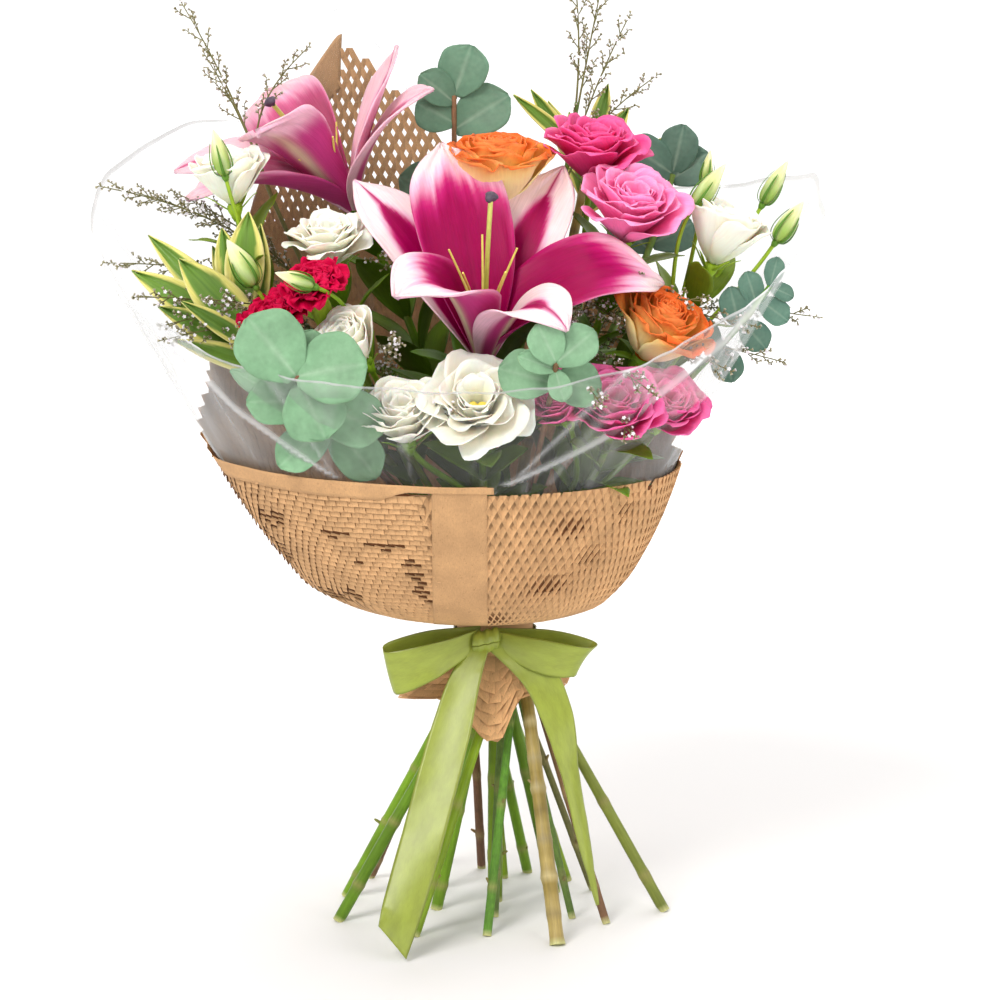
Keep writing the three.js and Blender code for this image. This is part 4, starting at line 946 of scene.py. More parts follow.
def floret(form, at, way, size, seed, pale):
    """One floret of sea lavender: a papery cup, with small petals in it if it is pale."""
    frame_ = frame_at(at, way, seed)
    turn = np.arange(5)[:, None] * TAU / 5
    rows = around(turn, np.array([0.16, 0.34, 0.62]) * size, np.array([0, 0.9, 1.5]) * size)
    tint = np.stack([rgb(0x6E6A3C), rgb(0x8E8763), rgb(0xBFB9A6)])
    form.grid(placed(rows, frame_), [0, 0, seed], np.broadcast_to(tint, rows.shape), 1)
    if pale:
        turn = np.arange(10)[:, None] * math.pi / 5
        scallop = np.where(np.arange(10) % 2, 0.7, 1.1)[:, None]
        rows = around(turn, np.array([0.05, 0.55, 0.8]) * size * scallop, np.array([1.2, 1.75, 1.7]) * size)
        form.grid(placed(rows, frame_), [0, 0, seed], rgb(0xEDE8EE), 2)


def spray(form, route, given, seed, twig_tint):
    """Twigs from a stem to the given tips, forked all along, with florets on the forks."""
    start = at_shares(route["upper"], given["at"])[0]
    ahead = tangent_at(route["upper"], given["at"])
    for i, tip in enumerate(given["tips"]):
        end = np.asarray(tip, float)
        reach = np.linalg.norm(end - start)
        twig = bezier([start, start + ahead * reach * 0.5, end], 30)
        form.tube(twig, np.linspace(0.75, 0.3, 30), 7, twig_tint)
        count = max(7, int(reach / 6.5))
        for k in range(count):
            share = lerp(0.34, 1, (k + 1) / count)
            base = at_shares(twig, share)[0]
            on = tangent_at(twig, share)
            first = unit(np.cross([0, 1, 0.1], on))
            a = k * 2.4 + i + seed
            side = first * math.cos(a) + np.cross(on, first) * math.sin(a)
            way = unit(on + side * (0 if k == count - 1 else 0.85))
            long = lerp(9, 15, draw(seed + i, k)) * lerp(1.2, 0.6, share)
            bent = bezier([base, base + way * long * 0.6, base + way * long + on * 2.5], 6)
            form.tube(bent, np.linspace(0.36, 0.22, 6), 4, twig_tint * 1.1)
            for m in range(6):
                where = at_shares(bent, 0.32 + 0.13 * m)[0]
                b = m * 2.4 + k
                out = unit(way * 0.8 + first * math.cos(b) + np.cross(on, first) * math.sin(b))
                size = 1.2 * (0.8 + 0.5 * draw(k + 3 * i, m))
                floret(form, where, out, size, k + m, draw(seed + k, m + 9) > 0.62)


# Blooms, with the whorls of the solids filled in
LILY_DEEP = 0x98004C


def lily(form, bloom, strong):
    """Six tepals: the odd ones narrower with broad pale edges, the others wide with pale tips."""
    frame_ = bloom_frame(bloom)
    for i, (turn, lean, curl, length, ease) in enumerate(bloom["tepals"]):
        narrow = i % 2
        rows, grain, u, v = petal_rows(
            frame_, *FINE["lily"], turn=math.radians(turn), length=length, width=(56, 42)[narrow],
            lean=((16, 22)[narrow], lean), curl=curl, ease=ease, start=(3, -narrow), base=0.22, widest=0.56,
            blunt=1.7, tip=0.03, cupped=True, bow=(1, (0.55, 0.4)[narrow]), swell=(2.5, 1)[narrow],
            phase=i * 2.1, ruffle=(1.9, 1)[narrow], ruffles=2.6, rib=-1.2, seed=11 + i,
        )
        streak = 0.05 * waves(i, 30 * u, 2 * v) + 0.05 * waves(i + 9, 9 * u, 5 * v)
        if narrow:
            core = 0.78 * np.sqrt(np.clip(0.82 - v, 0, 1)) + 0.02
            rim = smoothstep(-0.16, 0.24, np.abs(u) - core + streak)
        else:
            rim = smoothstep(0.62, 0.98, v + 0.14 * np.abs(u) + 1.2 * streak)
            rim = np.maximum(rim, smoothstep(0.82, 1.02, np.abs(u) + streak) * smoothstep(0.2, 0.7, v) * 0.55)
        inside = blend(
            LILY_DEEP, (0xBE1E70, smoothstep(0.02, 0.45, rim)), (0xEEB6D0, smoothstep(0.35, 0.8, rim)),
            (0xFDF2EA, smoothstep(0.75, 1.0, rim) * 0.6),
            (rgb(LILY_DEEP) * 0.75, np.exp(-((u / 0.05) ** 2)) * (1 - v) * 0.7),
            (0xC9D08A, smoothstep(0.1, 0.02, v)), (0xD887A4, 0 if strong else 0.4),
        )
        rib = np.exp(-((u / 0.13) ** 2)) * smoothstep(1.05, 0.5, v)
        outside = blend(0xBC3C80, (0xF0BCD2, smoothstep(0.1, 0.95, rim + 0.1)), (0xE3DDB4, rib * 0.8))
        form.sheet(rows, THICK["lily"], grain, outside, inside)
    turned(form, frame_, [(3.4, 0), (4.4, 6), (3.4, 18), (2.6, 23)], 18, rgb(0xBFCB6A), 1)


def rose(form, bloom):
    """Thirty petals in a spiral, furled inside and curling back outside."""
    size, seed, count = bloom["size"], bloom["seed"], 30
    frame_ = bloom_frame(bloom)
    for i in range(count):
        t = i / (count - 1)
        rows, grain, u, v = petal_rows(
            frame_, *FINE["rose"], turn=i * GOLDEN + 0.4 * draw(seed, i), length=size * lerp(0.36, 0.68, t),
            width=size * lerp(0.34, 0.8, t), lean=(lerp(8, 72, t), lerp(-20, 2, t)), curl=76 * t * t,
            ease=0.8, start=(size * lerp(0.02, 0.06, t), size * lerp(0.26, 0, t)), base=0.5, widest=0.62,
            blunt=2.2, tip=lerp(0.75, 0.34, t), cupped=True, bow=(1, 1.02), ruffles=2.6,
            ruffle=0.5 + 1.1 * smoothstep(0.45, 1, t), wave=size * lerp(0.012, 0.03, t), waves=1.5,
            phase=PHASE * draw(seed, 40 + i), seed=seed + i,
        )
        uneven = 0.06 * waves(seed + i, 8 * u, 3 * v)
        rim = smoothstep(0.62, 1, np.maximum(v, np.abs(u) ** 4 * smoothstep(0.4, 0.9, v)) + uneven)
        streaks = smoothstep(0.3, 1, waves(seed + i, 30 * u, 2 * v))
        inner = blend(0xFFE07E, (0xFFAC4C, smoothstep(0.45, 1, v + uneven)), (0xEE5A22, rim**2.5 * 0.85))
        outer = blend(
            0xFFEDB0, (0xFFD274, smoothstep(0.35, 1, v + uneven)), (0xEFA07A, streaks * 0.35),
            (0xE8602A, rim**2.5 * 0.8),
        )
        form.sheet(rows, THICK["rose"], grain, outer, inner)
    core = [(size * 0.08, 0), (size * 0.13, size * 0.1), (size * 0.1, size * 0.3), (1, size * 0.46)]
    turned(form, frame_, core, 14, rgb(0xE8781C))


def lisianthus(form, bloom, tints):
    """Whorls of five ruffled petals; a wide open bloom shows its pistil and stamens."""
    size, seed, wide = bloom["size"], bloom["seed"], bloom["open"]
    frame_ = bloom_frame(bloom)
    base_tint, main_tint, rim_tint = tints
    whorls = 3 if wide >= 1 else 4
    for ring in range(whorls):
        depth = ring / whorls
        for i in range(5):
            seat = seed * 7 + ring * 5 + i
            rows, grain, u, v = petal_rows(
                frame_, *FINE["lisianthus"],
                turn=TAU * (i + 0.3 * draw(seed, i) + 0.5 * ring) / 5 + 0.35 * ring,
                length=size * lerp(0.76, 0.5, depth), width=size * lerp(0.92, 0.56, depth),
                lean=(lerp(52, 16, depth), lerp(6 + 34 * wide, -14, depth**0.8)),
                curl=(8 + 38 * wide) * lerp(1, 0.35, depth) * (0.85 + 0.3 * draw(seat, 3)), ease=0.8,
                start=(size * 0.04, size * 0.12 * depth), base=0.3, widest=0.7, blunt=2.4, tip=0.66,
                cupped=True, bow=(1, 1), skew=0.24, wave=size * 0.03, waves=1.5,
                phase=PHASE * draw(seed, 40 + i + 7 * ring), ruffle=size * 0.022, ruffles=1.8, seed=seat,
            )
            streak = 0.07 * waves(seat, 18 * u, 3 * v)
            rim = smoothstep(0.72, 1, np.maximum(v, np.abs(u) ** 5) + streak)
            tint = blend(base_tint, (main_tint, smoothstep(0.1, 0.5, v + streak)), (rim_tint, rim * 0.7))
            form.sheet(rows, THICK["lisianthus"], grain, blend(tint, (rgb(main_tint) * 1.08, 0.4)), tint)
    core = [(size * 0.06, 0), (size * 0.11, size * 0.12), (size * 0.08, size * 0.26), (1.2, size * 0.34)]
    turned(form, frame_, core, 14, rgb(0x9DB24A), 1)
    if wide < 1:
        return
    for way in (0, math.pi):
        lobe = [around(way, r, h * size) for r, h in ((0, 0.34), (2.6, 0.39), (4.6, 0.36))]
        form.tube(placed(bezier(lobe, 8), frame_), [1.2, 1.6, 2, 2.2, 2.2, 2, 1.6, 0.8], 10, rgb(0xE8D23A), 1)
    rod = bezier([[1.5, 0, 0.14 * size], [5, 0, 0.24 * size], [8, 0, 0.32 * size]], 8)
    for i in range(5):
        path = placed(spun(rod, TAU * i / 5 + 0.4), frame_)
        form.tube(path, [0.4] * 6 + [1.1, 0.8], 7, rgb(0xE6C64A), 1)


def carnation(form, bloom):
    """Crowded petals with waved and fringed edges."""
    size, seed, count = bloom["size"], bloom["seed"], 24
    frame_ = bloom_frame(bloom)
    for i in range(count):
        t = i / (count - 1)
        rows, grain, u, v = petal_rows(
            frame_, *FINE["carnation"], turn=i * GOLDEN, length=size * lerp(0.5, 0.66, t),
            width=size * lerp(0.48, 0.8, t), lean=(lerp(2, 34, t), lerp(10, 108, t)), ease=1.2,
            start=(size * lerp(0.02, 0.1, t), size * 0.04), base=0.2, widest=0.84, blunt=2.6, tip=0.66,
            bow=(size * 0.12, size * 0.6), wave=size * 0.05, waves=3, phase=PHASE * draw(seed, i),
            ruffle=size * 0.036, ruffles=2.6, fringe=0.05, seed=seed * 3 + i,
        )
        streak = 0.06 * waves(seed + i, 22 * u)
        rim = smoothstep(0.93, 1, v + streak)
        tint = blend(0x9A0030, (0xD60046, smoothstep(0.3, 0.9, v + streak)), (0xDA2A5C, rim * 0.4))
        form.sheet(rows, THICK["carnation"], grain, tint, tint * 0.9)
    core = [(size * 0.1, 0), (size * 0.14, size * 0.2), (size * 0.1, size * 0.36)]
    turned(form, frame_, core, 12, rgb(0xA00838))


def pistil(form, bloom, style):
    """The style with its three-lobed stigma, and the filaments round it."""
    frame_ = bloom_frame(bloom)
    turned(form, frame_, [(2.4, 22.4), (3.1, 24), (2.4, 25.6), (1.6, 26.4)], 14, rgb(0xB6C45A))

    def rod(turn, out, up, r, low, high):
        stations = ((1.2, 24), (out * 0.35, up * 0.6), (out, up))
        path = bezier([around(turn, d, h) for d, h in stations], 24)
        form.tube(placed(path, frame_), r, 9, blend(low, (high, np.linspace(0, 1, 24))))

    rod(math.atan2(style[1], style[0]), math.hypot(style[0], style[1]), style[2], 1.3, 0xA9B83E, 0xC9CC6A)
    for i in range(5):
        rod(math.radians(20 + 72 * i), 19, style[2] - 32, np.linspace(1.0, 0.55, 24), 0xD9DC7E, 0xE9DE6A)
    turn = np.linspace(0, TAU, 31)[:-1, None]
    lobes = np.cos(3 * turn)
    h = np.array([-1.5, -0.4, 0.8, 1.9, 2.9, 3.4])
    r = np.array([1.5, 2.4, 3.3, 3.4, 2.6, 0.1]) * (1 + 0.2 * lobes)
    knob = frame_at(placed(style, frame_), bloom["aim"])
    form.grid(placed(around(turn, r, h - 0.5 * lobes * (r / 3)), knob), [0, 0, 3], rgb(0x4A3A4C), 1)


# The wraps
def soft(table, x, width):
    """Values of a table with its corners rounded over a width."""
    return sum(along(table, x + k * width) for k in (-1, -0.5, 0, 0.5, 1)) / 5


def round_soft(table, degrees, width):
    degrees = np.asarray(degrees, float)
    return sum(along(table, (degrees + k * width) % 360) for k in (-1, -0.5, 0, 0.5, 1)) / 5


def paper_rim(degrees):
    return round_soft(PAPER_RIM, degrees, 2)


def flatter(reach):
    """How much less deep than wide the paper is at a reach."""
    return lerp(1, DEPTH_SHARE, np.clip((reach - 22) / 60, 0, 1))


def paper_at(degrees, z, out=0.0):
    """A point of the paper bowl, pushed outwards by out."""
    degrees, z = np.broadcast_arrays(np.asarray(degrees, float), np.asarray(z, float))
    reach = soft(PAPER_REACH, z, 3)
    shift = soft(PAPER_SHIFT, z, 3)
    turn = np.radians(degrees)
    high = np.clip((z - NECK_HIGH) / 40, 0, 1)
    pleat = 1.5 * np.sin(11 * turn + 0.4) + 1.0 * np.sin(23 * turn + 1 + z * 0.02)
    ripple = 0.9 * waves(4.4, 5 * turn, z * 0.06) + 0.5 * waves(5.1, 13 * turn, z * 0.11)
    reach = reach + out + high * (ripple + pleat * (1 - high) * 1.2 + pleat * 0.25)
    return xyz(shift + reach * np.cos(turn), reach * flatter(reach) * np.sin(turn) + shift * 0.18, z)


def paper_heights(step):
    """Heights spaced evenly along the paper's own profile."""
    z = np.linspace(NECK_HIGH + 0.5, 486, 1200)
    length = np.concatenate([[0], np.cumsum(np.hypot(np.diff(z), np.diff(soft(PAPER_REACH, z, 3))))])
    return np.interp(np.arange(0, length[-1], step), length, z)


# The paper's colour, and the paper in deep shade, painted on the sheet inside the front
KRAFT, KRAFT_IN_SHADE = rgb(0xCDA173), rgb(0x6A4225)
# The stretch of closed scales, in degrees
SCALES_FROM, SCALES_TO = 186, 262
# Where the paper is torn open, and where single slits of the closed scales gape: degrees, z and reach of each
TEARS = [(303, 232, 6, 8), (311, 212, 8, 11), (300, 198, 9, 6), (320, 236, 5, 9), (276, 178, 9, 5)]
SLITS = [
    (213, 232, 8, 6), (238, 229, 9, 3), (250, 223, 7, 3), (257, 205, 3, 20), (205, 214, 5, 13),
    (214, 188, 13, 4), (240, 212, 2, 2), (228, 190, 8, 3),
]


def bumps(spots, a, z):
    """The highest of some soft spots, each 1 at its middle, at an angle and height."""
    a, z = np.broadcast_arrays(a, z)
    return np.max([np.exp(-(((a - c) / w) ** 2) - ((z - mid) / h) ** 2) for c, mid, w, h in spots], axis=0)


def margin_at(degrees):
    """Width of the plain margin beside the left edge of the back peak."""
    return np.interp(degrees, [117, 131, 150, 170], [9, 9, 7, 0]) * 3.4


def cells(form, corners, shade, relief):
    """Loose cells of the paper, each from four corners; the tint is painted light and shade, shade for each
    cell and relief for each of the four corners, standing in for the light on the lifted paper.
    """
    points = np.stack(corners, axis=1)
    tint = KRAFT * shade[:, None, None] * np.array(relief)[None, :, None]
    grain = xyz(np.radians(points[..., 0]) * 60, points[..., 2], points[..., 1])
    form.add(points, np.arange(4 * len(points)).reshape(-1, 4), grain, tint)


def strands(form):
    """Strands that lean from one joint to the next, one edge lifted, with slits between them."""
    heights = paper_heights(STRAND_HEIGHT)
    cell = 360 / STRANDS
    for j in range(len(heights) - 1):
        low, high = heights[j], heights[j + 1]
        shear = 0.045 * (low - 200)
        start = ((np.arange(STRANDS) + 0.5 * (j % 2)) * cell + shear) % 360
        for side in (-0.5, 0.5):
            end = start + side * cell + 0.045 * (high - low)
            scaled = (start > SCALES_FROM) & (start < SCALES_TO)
            margin = (start > 116) & (start < 170) & (low >= paper_rim(start) - margin_at(start))
            keep = (high < paper_rim(end) - 1.5) & ~scaled & ~margin
            a, b = start[keep], end[keep]
            if not len(a):
                continue
            gape = bumps(TEARS, a, low) + 0.25 * waves(7.7, np.radians(a) * 4, low * 0.05)
            closed = smoothstep(296, 304, a) * smoothstep(352, 340, a)
            behind = (a < 186) | (a > 348)
            half = np.clip(0.36 + 0.12 * closed - 0.3 * gape, 0.12, 0.5)
            half = np.where(behind, 0.5 - 0.2 * smoothstep(368, 396, low), half) * cell
            lift = np.sign(side) * (1.0 - 0.5 * smoothstep(300, 360, low))
            lift = lift * smoothstep(NECK_HIGH, NECK_HIGH + 25, low)
            corners = [
                paper_at(a - half, low, 0.15 - lift), paper_at(a + half, low, 0.15 + lift),
                paper_at(b + half, high, 0.15 + lift), paper_at(b - half, high, 0.15 - lift),
            ]
            # Painted light and shade: the tint of each strand varies at random, strands lifted at their right
            # edge are lighter, and each cell is lighter towards its right corners
            cells(form, corners, 0.86 + 0.12 * (lift > 0) + 0.12 * draw(j + side, a), (0.9, 1.04, 1.08, 0.94))


def scales(form):
    """Closed cells like fish scales, the lower right corner of each lifted; here and there a slit is open."""
    heights = paper_heights(SCALE_HEIGHT)
    cell = 360 / SCALES
    for j in range(len(heights) - 1):
        low, high = heights[j], heights[j + 1]
        a = (np.arange(SCALES) + 0.5 * (j % 2)) * cell
        a = a[(a > SCALES_FROM - 2) & (a < SCALES_TO + 2) & (high < paper_rim(a) - 5)]
        if not len(a):
            continue
        tear = bumps(SLITS, a, low) * (0.45 + draw(j, a))
        top = np.where(tear > 0.5, lerp(low, high, 0.1), high + 0.7)
        lift = (0.7 + 0.9 * draw(j + 0.5, a)) * smoothstep(NECK_HIGH, NECK_HIGH + 20, low)
        sag = 0.5 * (draw(j + 0.2, a) - 0.3)
        left, right = a - 0.51 * cell, a + 0.51 * cell
        rise = [1.5 * waves(2.7, np.radians(x) * 6, low * 0.05) for x in (left, right)]
        corners = [
            paper_at(left, low - sag + rise[0], 0.2 + 0.6 * lift),
            paper_at(right, low - 0.3 + sag + rise[1], 0.2 + 1.35 * lift),
            paper_at(right, top + rise[1], -0.1),
            paper_at(left, np.where(top < high, 0.5 * (top + high), top) + rise[0], -0.3),
        ]
        # Painted light and shade: each scale lighter along its lifted lower edge and darker towards its top,
        # and lighter or darker at random
        cells(form, corners, 0.92 + 0.12 * draw(j + 0.7, a), (1.08, 1.12, 0.86, 0.8))


def plain_sheets(form):
    """The dark sheet inside the front, painted as the paper in shade seen through the openings, the strip
    where the paper overlaps, and the plain bands at the rim.
    """

    def patch(rows, tint):
        form.sheet(rows, THICK["paper"], rows[..., [0, 2, 1]], tint)

    degrees = np.linspace(176, 372, 100)[:, None]
    share = np.linspace(0, 1, 26)[None, :]
    rows = paper_at(degrees, lerp(NECK_HIGH, paper_rim(degrees % 360) - 5, share**1.5), -0.75)
    # Painted shade: mid-brown where the slits between 262 and 322 degrees show it, darker brown at the tears
    # and elsewhere, darkest by the neck
    deep_shade = np.clip(1.6 * bumps(TEARS, degrees, rows[..., 2]) + (degrees < 262) + (degrees > 322), 0, 1)
    shadow = blend(KRAFT_IN_SHADE * 0.7, (KRAFT_IN_SHADE, share + 0 * degrees))
    patch(rows, blend(KRAFT * 0.62, (shadow, deep_shade)))

    side = np.linspace(-33, -4, 16)[:, None]
    z = lerp(NECK_HIGH, 260, np.linspace(0.06, 1, 46)[None, :]) + 0 * side
    slope = (side - soft(PAPER_SHIFT, z, 3)) / soft(PAPER_REACH, z, 3)
    degrees = 270 + np.degrees(np.arcsin(np.clip(slope, -0.9, 0.9)))
    patch(paper_at(degrees, z, lerp(1.5, 0.9, (side + 33) / 29)), KRAFT * 0.92)

    degrees = np.linspace(198, 281, 90)[:, None]
    rim = paper_rim(degrees)
    z = lerp(rim - 9 + 5.5 * smoothstep(252, 262, degrees), rim + 0.4, np.linspace(0, 1, 6)[None, :])
    patch(paper_at(degrees, z, 1.3 + 0.9 * smoothstep(258, 266, degrees)), KRAFT * 0.98)

    degrees = np.linspace(117, 160, 40)[:, None]
    rim = paper_rim(degrees)
    z = lerp(rim - (margin_at(degrees) + 3), rim, np.linspace(0, 1, 12)[None, :])
    patch(paper_at(degrees, z, 0.2), KRAFT * 0.86)


def collar(form):
    """The neck, and below the tie the crumpled collar with loose cells on it."""
    degrees = np.arange(0, 360, 2.0)[:, None]
    turn = np.radians(degrees)
    s = np.linspace(0, 1, 26)[None, :]
    reach = round_soft(COLLAR_REACH, degrees, 3)
    edge = round_soft(COLLAR_Z, degrees, 3)
    r = lerp(NECK_R, reach, s**1.25) + s * (1.1 * waves(2.2, 9 * turn, 3 * s) + 0.8 * waves(6.1, 21 * turn))
    z = lerp(NECK_LOW, edge, s) + s * 1.2 * waves(1.9, 14 * turn, 4 * s)
    outer = xyz(r * np.cos(turn), r * flatter(r) * np.sin(turn), z)
    shade = 1 + 0.14 * waves(3.3, 12 * turn, 5 * s)
    form.grid(outer[:, ::-1], xyz(r * turn, z, r)[:, ::-1], (KRAFT * shade[..., None])[:, ::-1])
    out = unit(outer * np.array([1, 1, 0])) * np.array([1, 1, 0.4])
    for k in range(3, 25, 3):
        i = np.arange(3 * (k // 3 % 2), 180, 6)
        lift = (0.7 + 1.9 * draw(k, i))[:, None]
        low, high, ahead = min(25, k + 3), k - 1, (i + 6) % 180
        corners = [
            outer[i, low] + out[i, low] * lift, outer[ahead, low] + out[ahead, low] * lift[::-1],
            outer[ahead, high] + out[ahead, high] * 0.3, outer[i, high] + out[i, high] * 0.2,
        ]
        # Painted light and shade: the cells are lighter than the bowl's paper, painted light where the wrap
        # shades the collar, and each is lighter along its lifted lower edge and darker towards its top
        cells(form, corners, 1.05 + 0.25 * draw(k + 0.3, i), (1.1, 1.16, 0.86, 0.8))
    neck = np.linspace(NECK_LOW, NECK_HIGH + 0.5, 5)[None, :]
    form.grid(around(turn, NECK_R, neck), [0, 0, 0], KRAFT * 0.8)


def kraft_wrap():
    form = Form()
    for part in (strands, scales, plain_sheets, collar):
        part(form)
    return form


# The folds of the film that catch the light: degrees at the foot and at the rim, width there, strength
FILM_FOLDS = [
    (243, 199, 13, 0.55), (243, 232, 6, 0.3), (243, 252, -9, 0.16), (262, 258, 4, 0.14), (285, 345, -17, 0.5),
    (284, 303, 6, 0.35), (296, 312, -9, 0.2), (312, 330, 7, 0.2), (352, 372, 9, 0.35), (186, 176, 8, 0.4),
    (22, 34, 8, 0.3), (66, 54, 10, 0.28), (96, 110, -8, 0.3), (140, 128, 8, 0.3), (162, 170, -7, 0.3),
    (5, -6, 7, 0.3), (20, 12, -6, 0.25), (220, 212, 4, 0.2),
]


def clear_film():
    """The film: along the inside of the paper, then straight out to its own rim in folds and creases.
    Its tint is painted sheen, whiter along the folds and towards the sides, and the third value of its grain
    the way up to the rim."""
    form = Form()
    degrees = np.arange(0, 360, 0.9)[:, None]
    turn = np.radians(degrees)
    share = np.linspace(0, 1, 20)[None, :]
    low = paper_at(degrees, lerp(NECK_HIGH + 1, paper_rim(degrees), share**1.6), -2.0)
    last = low[:, -1:]

    def zigzag(x):
        return np.abs(x % 1 - 0.5)

    rise = np.maximum(12, round_soft(FILM_RIM, degrees, 1) - last[..., 2])
    rise = (rise + 5 * zigzag(degrees / 37 + 0.2) + 2.5 * zigzag(degrees / 13))[..., None]
    s = np.linspace(0, 1, 30)[None, 1:, None]
    folds = zigzag(turn * 13 / TAU + 0.25 * waves(9.1, 4 * turn)) - 0.25
    creases = zigzag(turn * 31 / TAU + 0.3 * waves(3.7, 6 * turn)) - 0.25
    swing = (folds * 9 + creases * 3.2)[..., None] * s**0.8 + 1.2 * waves(8.3, 7 * turn[..., None], 5 * s)
    lean = FLARE * rise * s + swing
    out = xyz(np.cos(turn), DEPTH_SHARE * np.sin(turn), 0)
    high = last + out * lean + rise * s * np.array([0, 0, 1])
    rows = np.concatenate([low, high], axis=1)
    edge = np.concatenate([0 * share, s[..., 0]], axis=1) + 0 * degrees
    # Painted sheen: whiter towards the sides near 0 and 180 degrees, where the film is seen at a slant, and in
    # bands along the folds
    painted_sheen = 0.13 * np.cos(turn) ** 2 * smoothstep(0, 0.3, edge)
    for foot, tip, wide, strength in FILM_FOLDS:
        across = (degrees - lerp(foot, tip, edge)) / lerp(wide * 0.3, wide, edge)
        band = 0.8 * smoothstep(0, 0.35, across) * smoothstep(1, 0.3, across)
        painted_sheen = np.maximum(painted_sheen, strength * band * (edge > 0))
    form.grid(rows, xyz(turn * 150, rows[..., 2], edge), xyz(painted_sheen, painted_sheen, painted_sheen))
    return form


# The ribbon and the twine
def ribbon():
    form = Form()
    light = rgb(0x93A03C)

    def band(rows, shade=1.0):
        across = np.linspace(-1, 1, len(rows))[:, None]
        length = lengths(rows[len(rows) // 2])
        tint = blend(light * shade, (light * shade * 0.8, np.abs(across) ** 14 + 0 * length))
        form.sheet(rows, THICK["ribbon"], xyz(across * 12.5, length, 0), tint)

    across = np.linspace(-1, 1, 15)[:, None, None]
    for k, given in enumerate(RIBBON_STRIPS):
        centres = catmull(given["centres"], 16)
        halves = catmull(given["sides"], 16)
        normal = unit(np.cross(halves, np.gradient(centres, axis=0)))
        place = np.linspace(0, 1, len(centres))[:, None]
        curl = 1.3 * np.sin(place * 7 + k) * (across**2 - 0.3)
        ripple = 0.35 * waves(k + 2.2, place * 26) * across
        band(centres + halves * across + normal * (curl + ripple))
    # The band round the neck, and the knot folded over it
    turn = np.linspace(0, TAU, 91)[None, :]
    z = np.linspace(153, 160.5, 9)[:, None]
    band(around(turn, RIBBON_R + 0.3 * np.sin(z * 1.1 + 2 * np.sin(turn)), z), 0.85)
    side = np.linspace(-1, 1, 17)[:, None]
    over = np.linspace(-0.1, TAU - 0.15, 60)[None, :]
    fold = 0.55 * np.sin(side * 9 + np.sin(over)) * (1 - side**4)
    x = -5 + (6.4 + 1.3 * np.cos(over)) * side
    y = -32.4 - (5.2 + fold) * (1 - 0.22 * side**2) * np.cos(over)
    band(xyz(x, y, 159.4 + (6.2 + fold) * np.sin(over) + 1.6 * side), 1.02)
    return form


def twine():
    """Two plies twisted round each other, six turns round the stems."""
    form = Form()
    turns, per = 6, 60
    t = np.linspace(0, TAU * turns, turns * per)
    z = TIE_Z + np.linspace(-3.4, 3.4, len(t))
    for ply in (0, math.pi):
        spin = t * 22 + ply
        path = around(t, TWINE_R + 0.28 * np.cos(spin), z + 0.28 * np.sin(spin))
        form.tube(path, 0.36, 6, rgb(0x9C7B4C), seed=ply)
    return form


# Materials of the dry parts
def kraft_material():
    material, tree, shader = nodes_of("kraft_paper", Specular_IOR_Level=0.3)
    place = attribute(tree, "grain", "Vector")
    fibres = noise(tree, stretched(tree, place, 1.6, 0.35), 1, 5, 0.7)
    flecks = noise(tree, place, 0.9, 2)
    blots = noise(tree, place, 0.05, 3)
    colour = toned(tree, attribute(tree, "tint", "Color"), (fibres, 0.86, 1.1), (blots, 0.84, 1.1))
    colour = mixed(tree, ranged(tree, flecks, 0.64, 0.72, 0, 0.4), colour, (*rgb(0x6B4424), 1))
    tree.links.new(colour, shader.inputs["Base Color"])
    tree.links.new(ranged(tree, fibres, 0.3, 0.7, 0.78, 0.94), shader.inputs["Roughness"])
    bumped(tree, shader, fibres, 0.25, 0.0003)
    return material


def film_material():
    """Clear film, seen at a slant, at its rim, in small painted glints and in its folds, whitened by painted
    sheen.
    """
    material, tree, shader = nodes_of("clear_film", Specular_IOR_Level=0.6)
    place = attribute(tree, "grain", "Vector")
    painted_sheen = attribute(tree, "tint", "Vector")
    painted_sheen = linked(tree, "ShaderNodeSeparateXYZ", {"Vector": painted_sheen}).outputs["X"]
    edge = linked(tree, "ShaderNodeSeparateXYZ", {"Vector": place}).outputs["Z"]
    crinkle = noise(tree, stretched(tree, place, 0.05, 0.014), 1, 2, 0.5)
    facing = linked(tree, "ShaderNodeLayerWeight", {"Blend": 0.35}).outputs["Facing"]
    skin = ranged(tree, facing, 0.15, 1, 0.08, 0.5)
    rim = ranged(tree, edge, 0.97, 0.985, 0, 0.5)
    glint = ranged(tree, crinkle, 0.66, 0.7, 0, 0.1)
    total = reckoned(tree, reckoned(tree, skin, rim), glint)
    # The painted sheen makes the film more opaque here, and whiter in the colour below
    tree.links.new(reckoned(tree, total, painted_sheen, use_clamp=True), shader.inputs["Alpha"])
    slant = reckoned(tree, reckoned(tree, facing, 0.5, "MULTIPLY"), painted_sheen)
    dull = mixed(tree, ranged(tree, crinkle, 0.35, 0.65, 0, 1), (0.4, 0.4, 0.4, 1), (0.52, 0.53, 0.53, 1))
    colour = mixed(tree, ranged(tree, slant, 0.08, 0.45, 0, 1), dull, (0.78, 0.79, 0.8, 1))
    tree.links.new(colour, shader.inputs["Base Color"])
    tree.links.new(ranged(tree, crinkle, 0.4, 0.7, 0.1, 0.2), shader.inputs["Roughness"])
    bumped(tree, shader, crinkle, 0.3, 0.002)
    return material


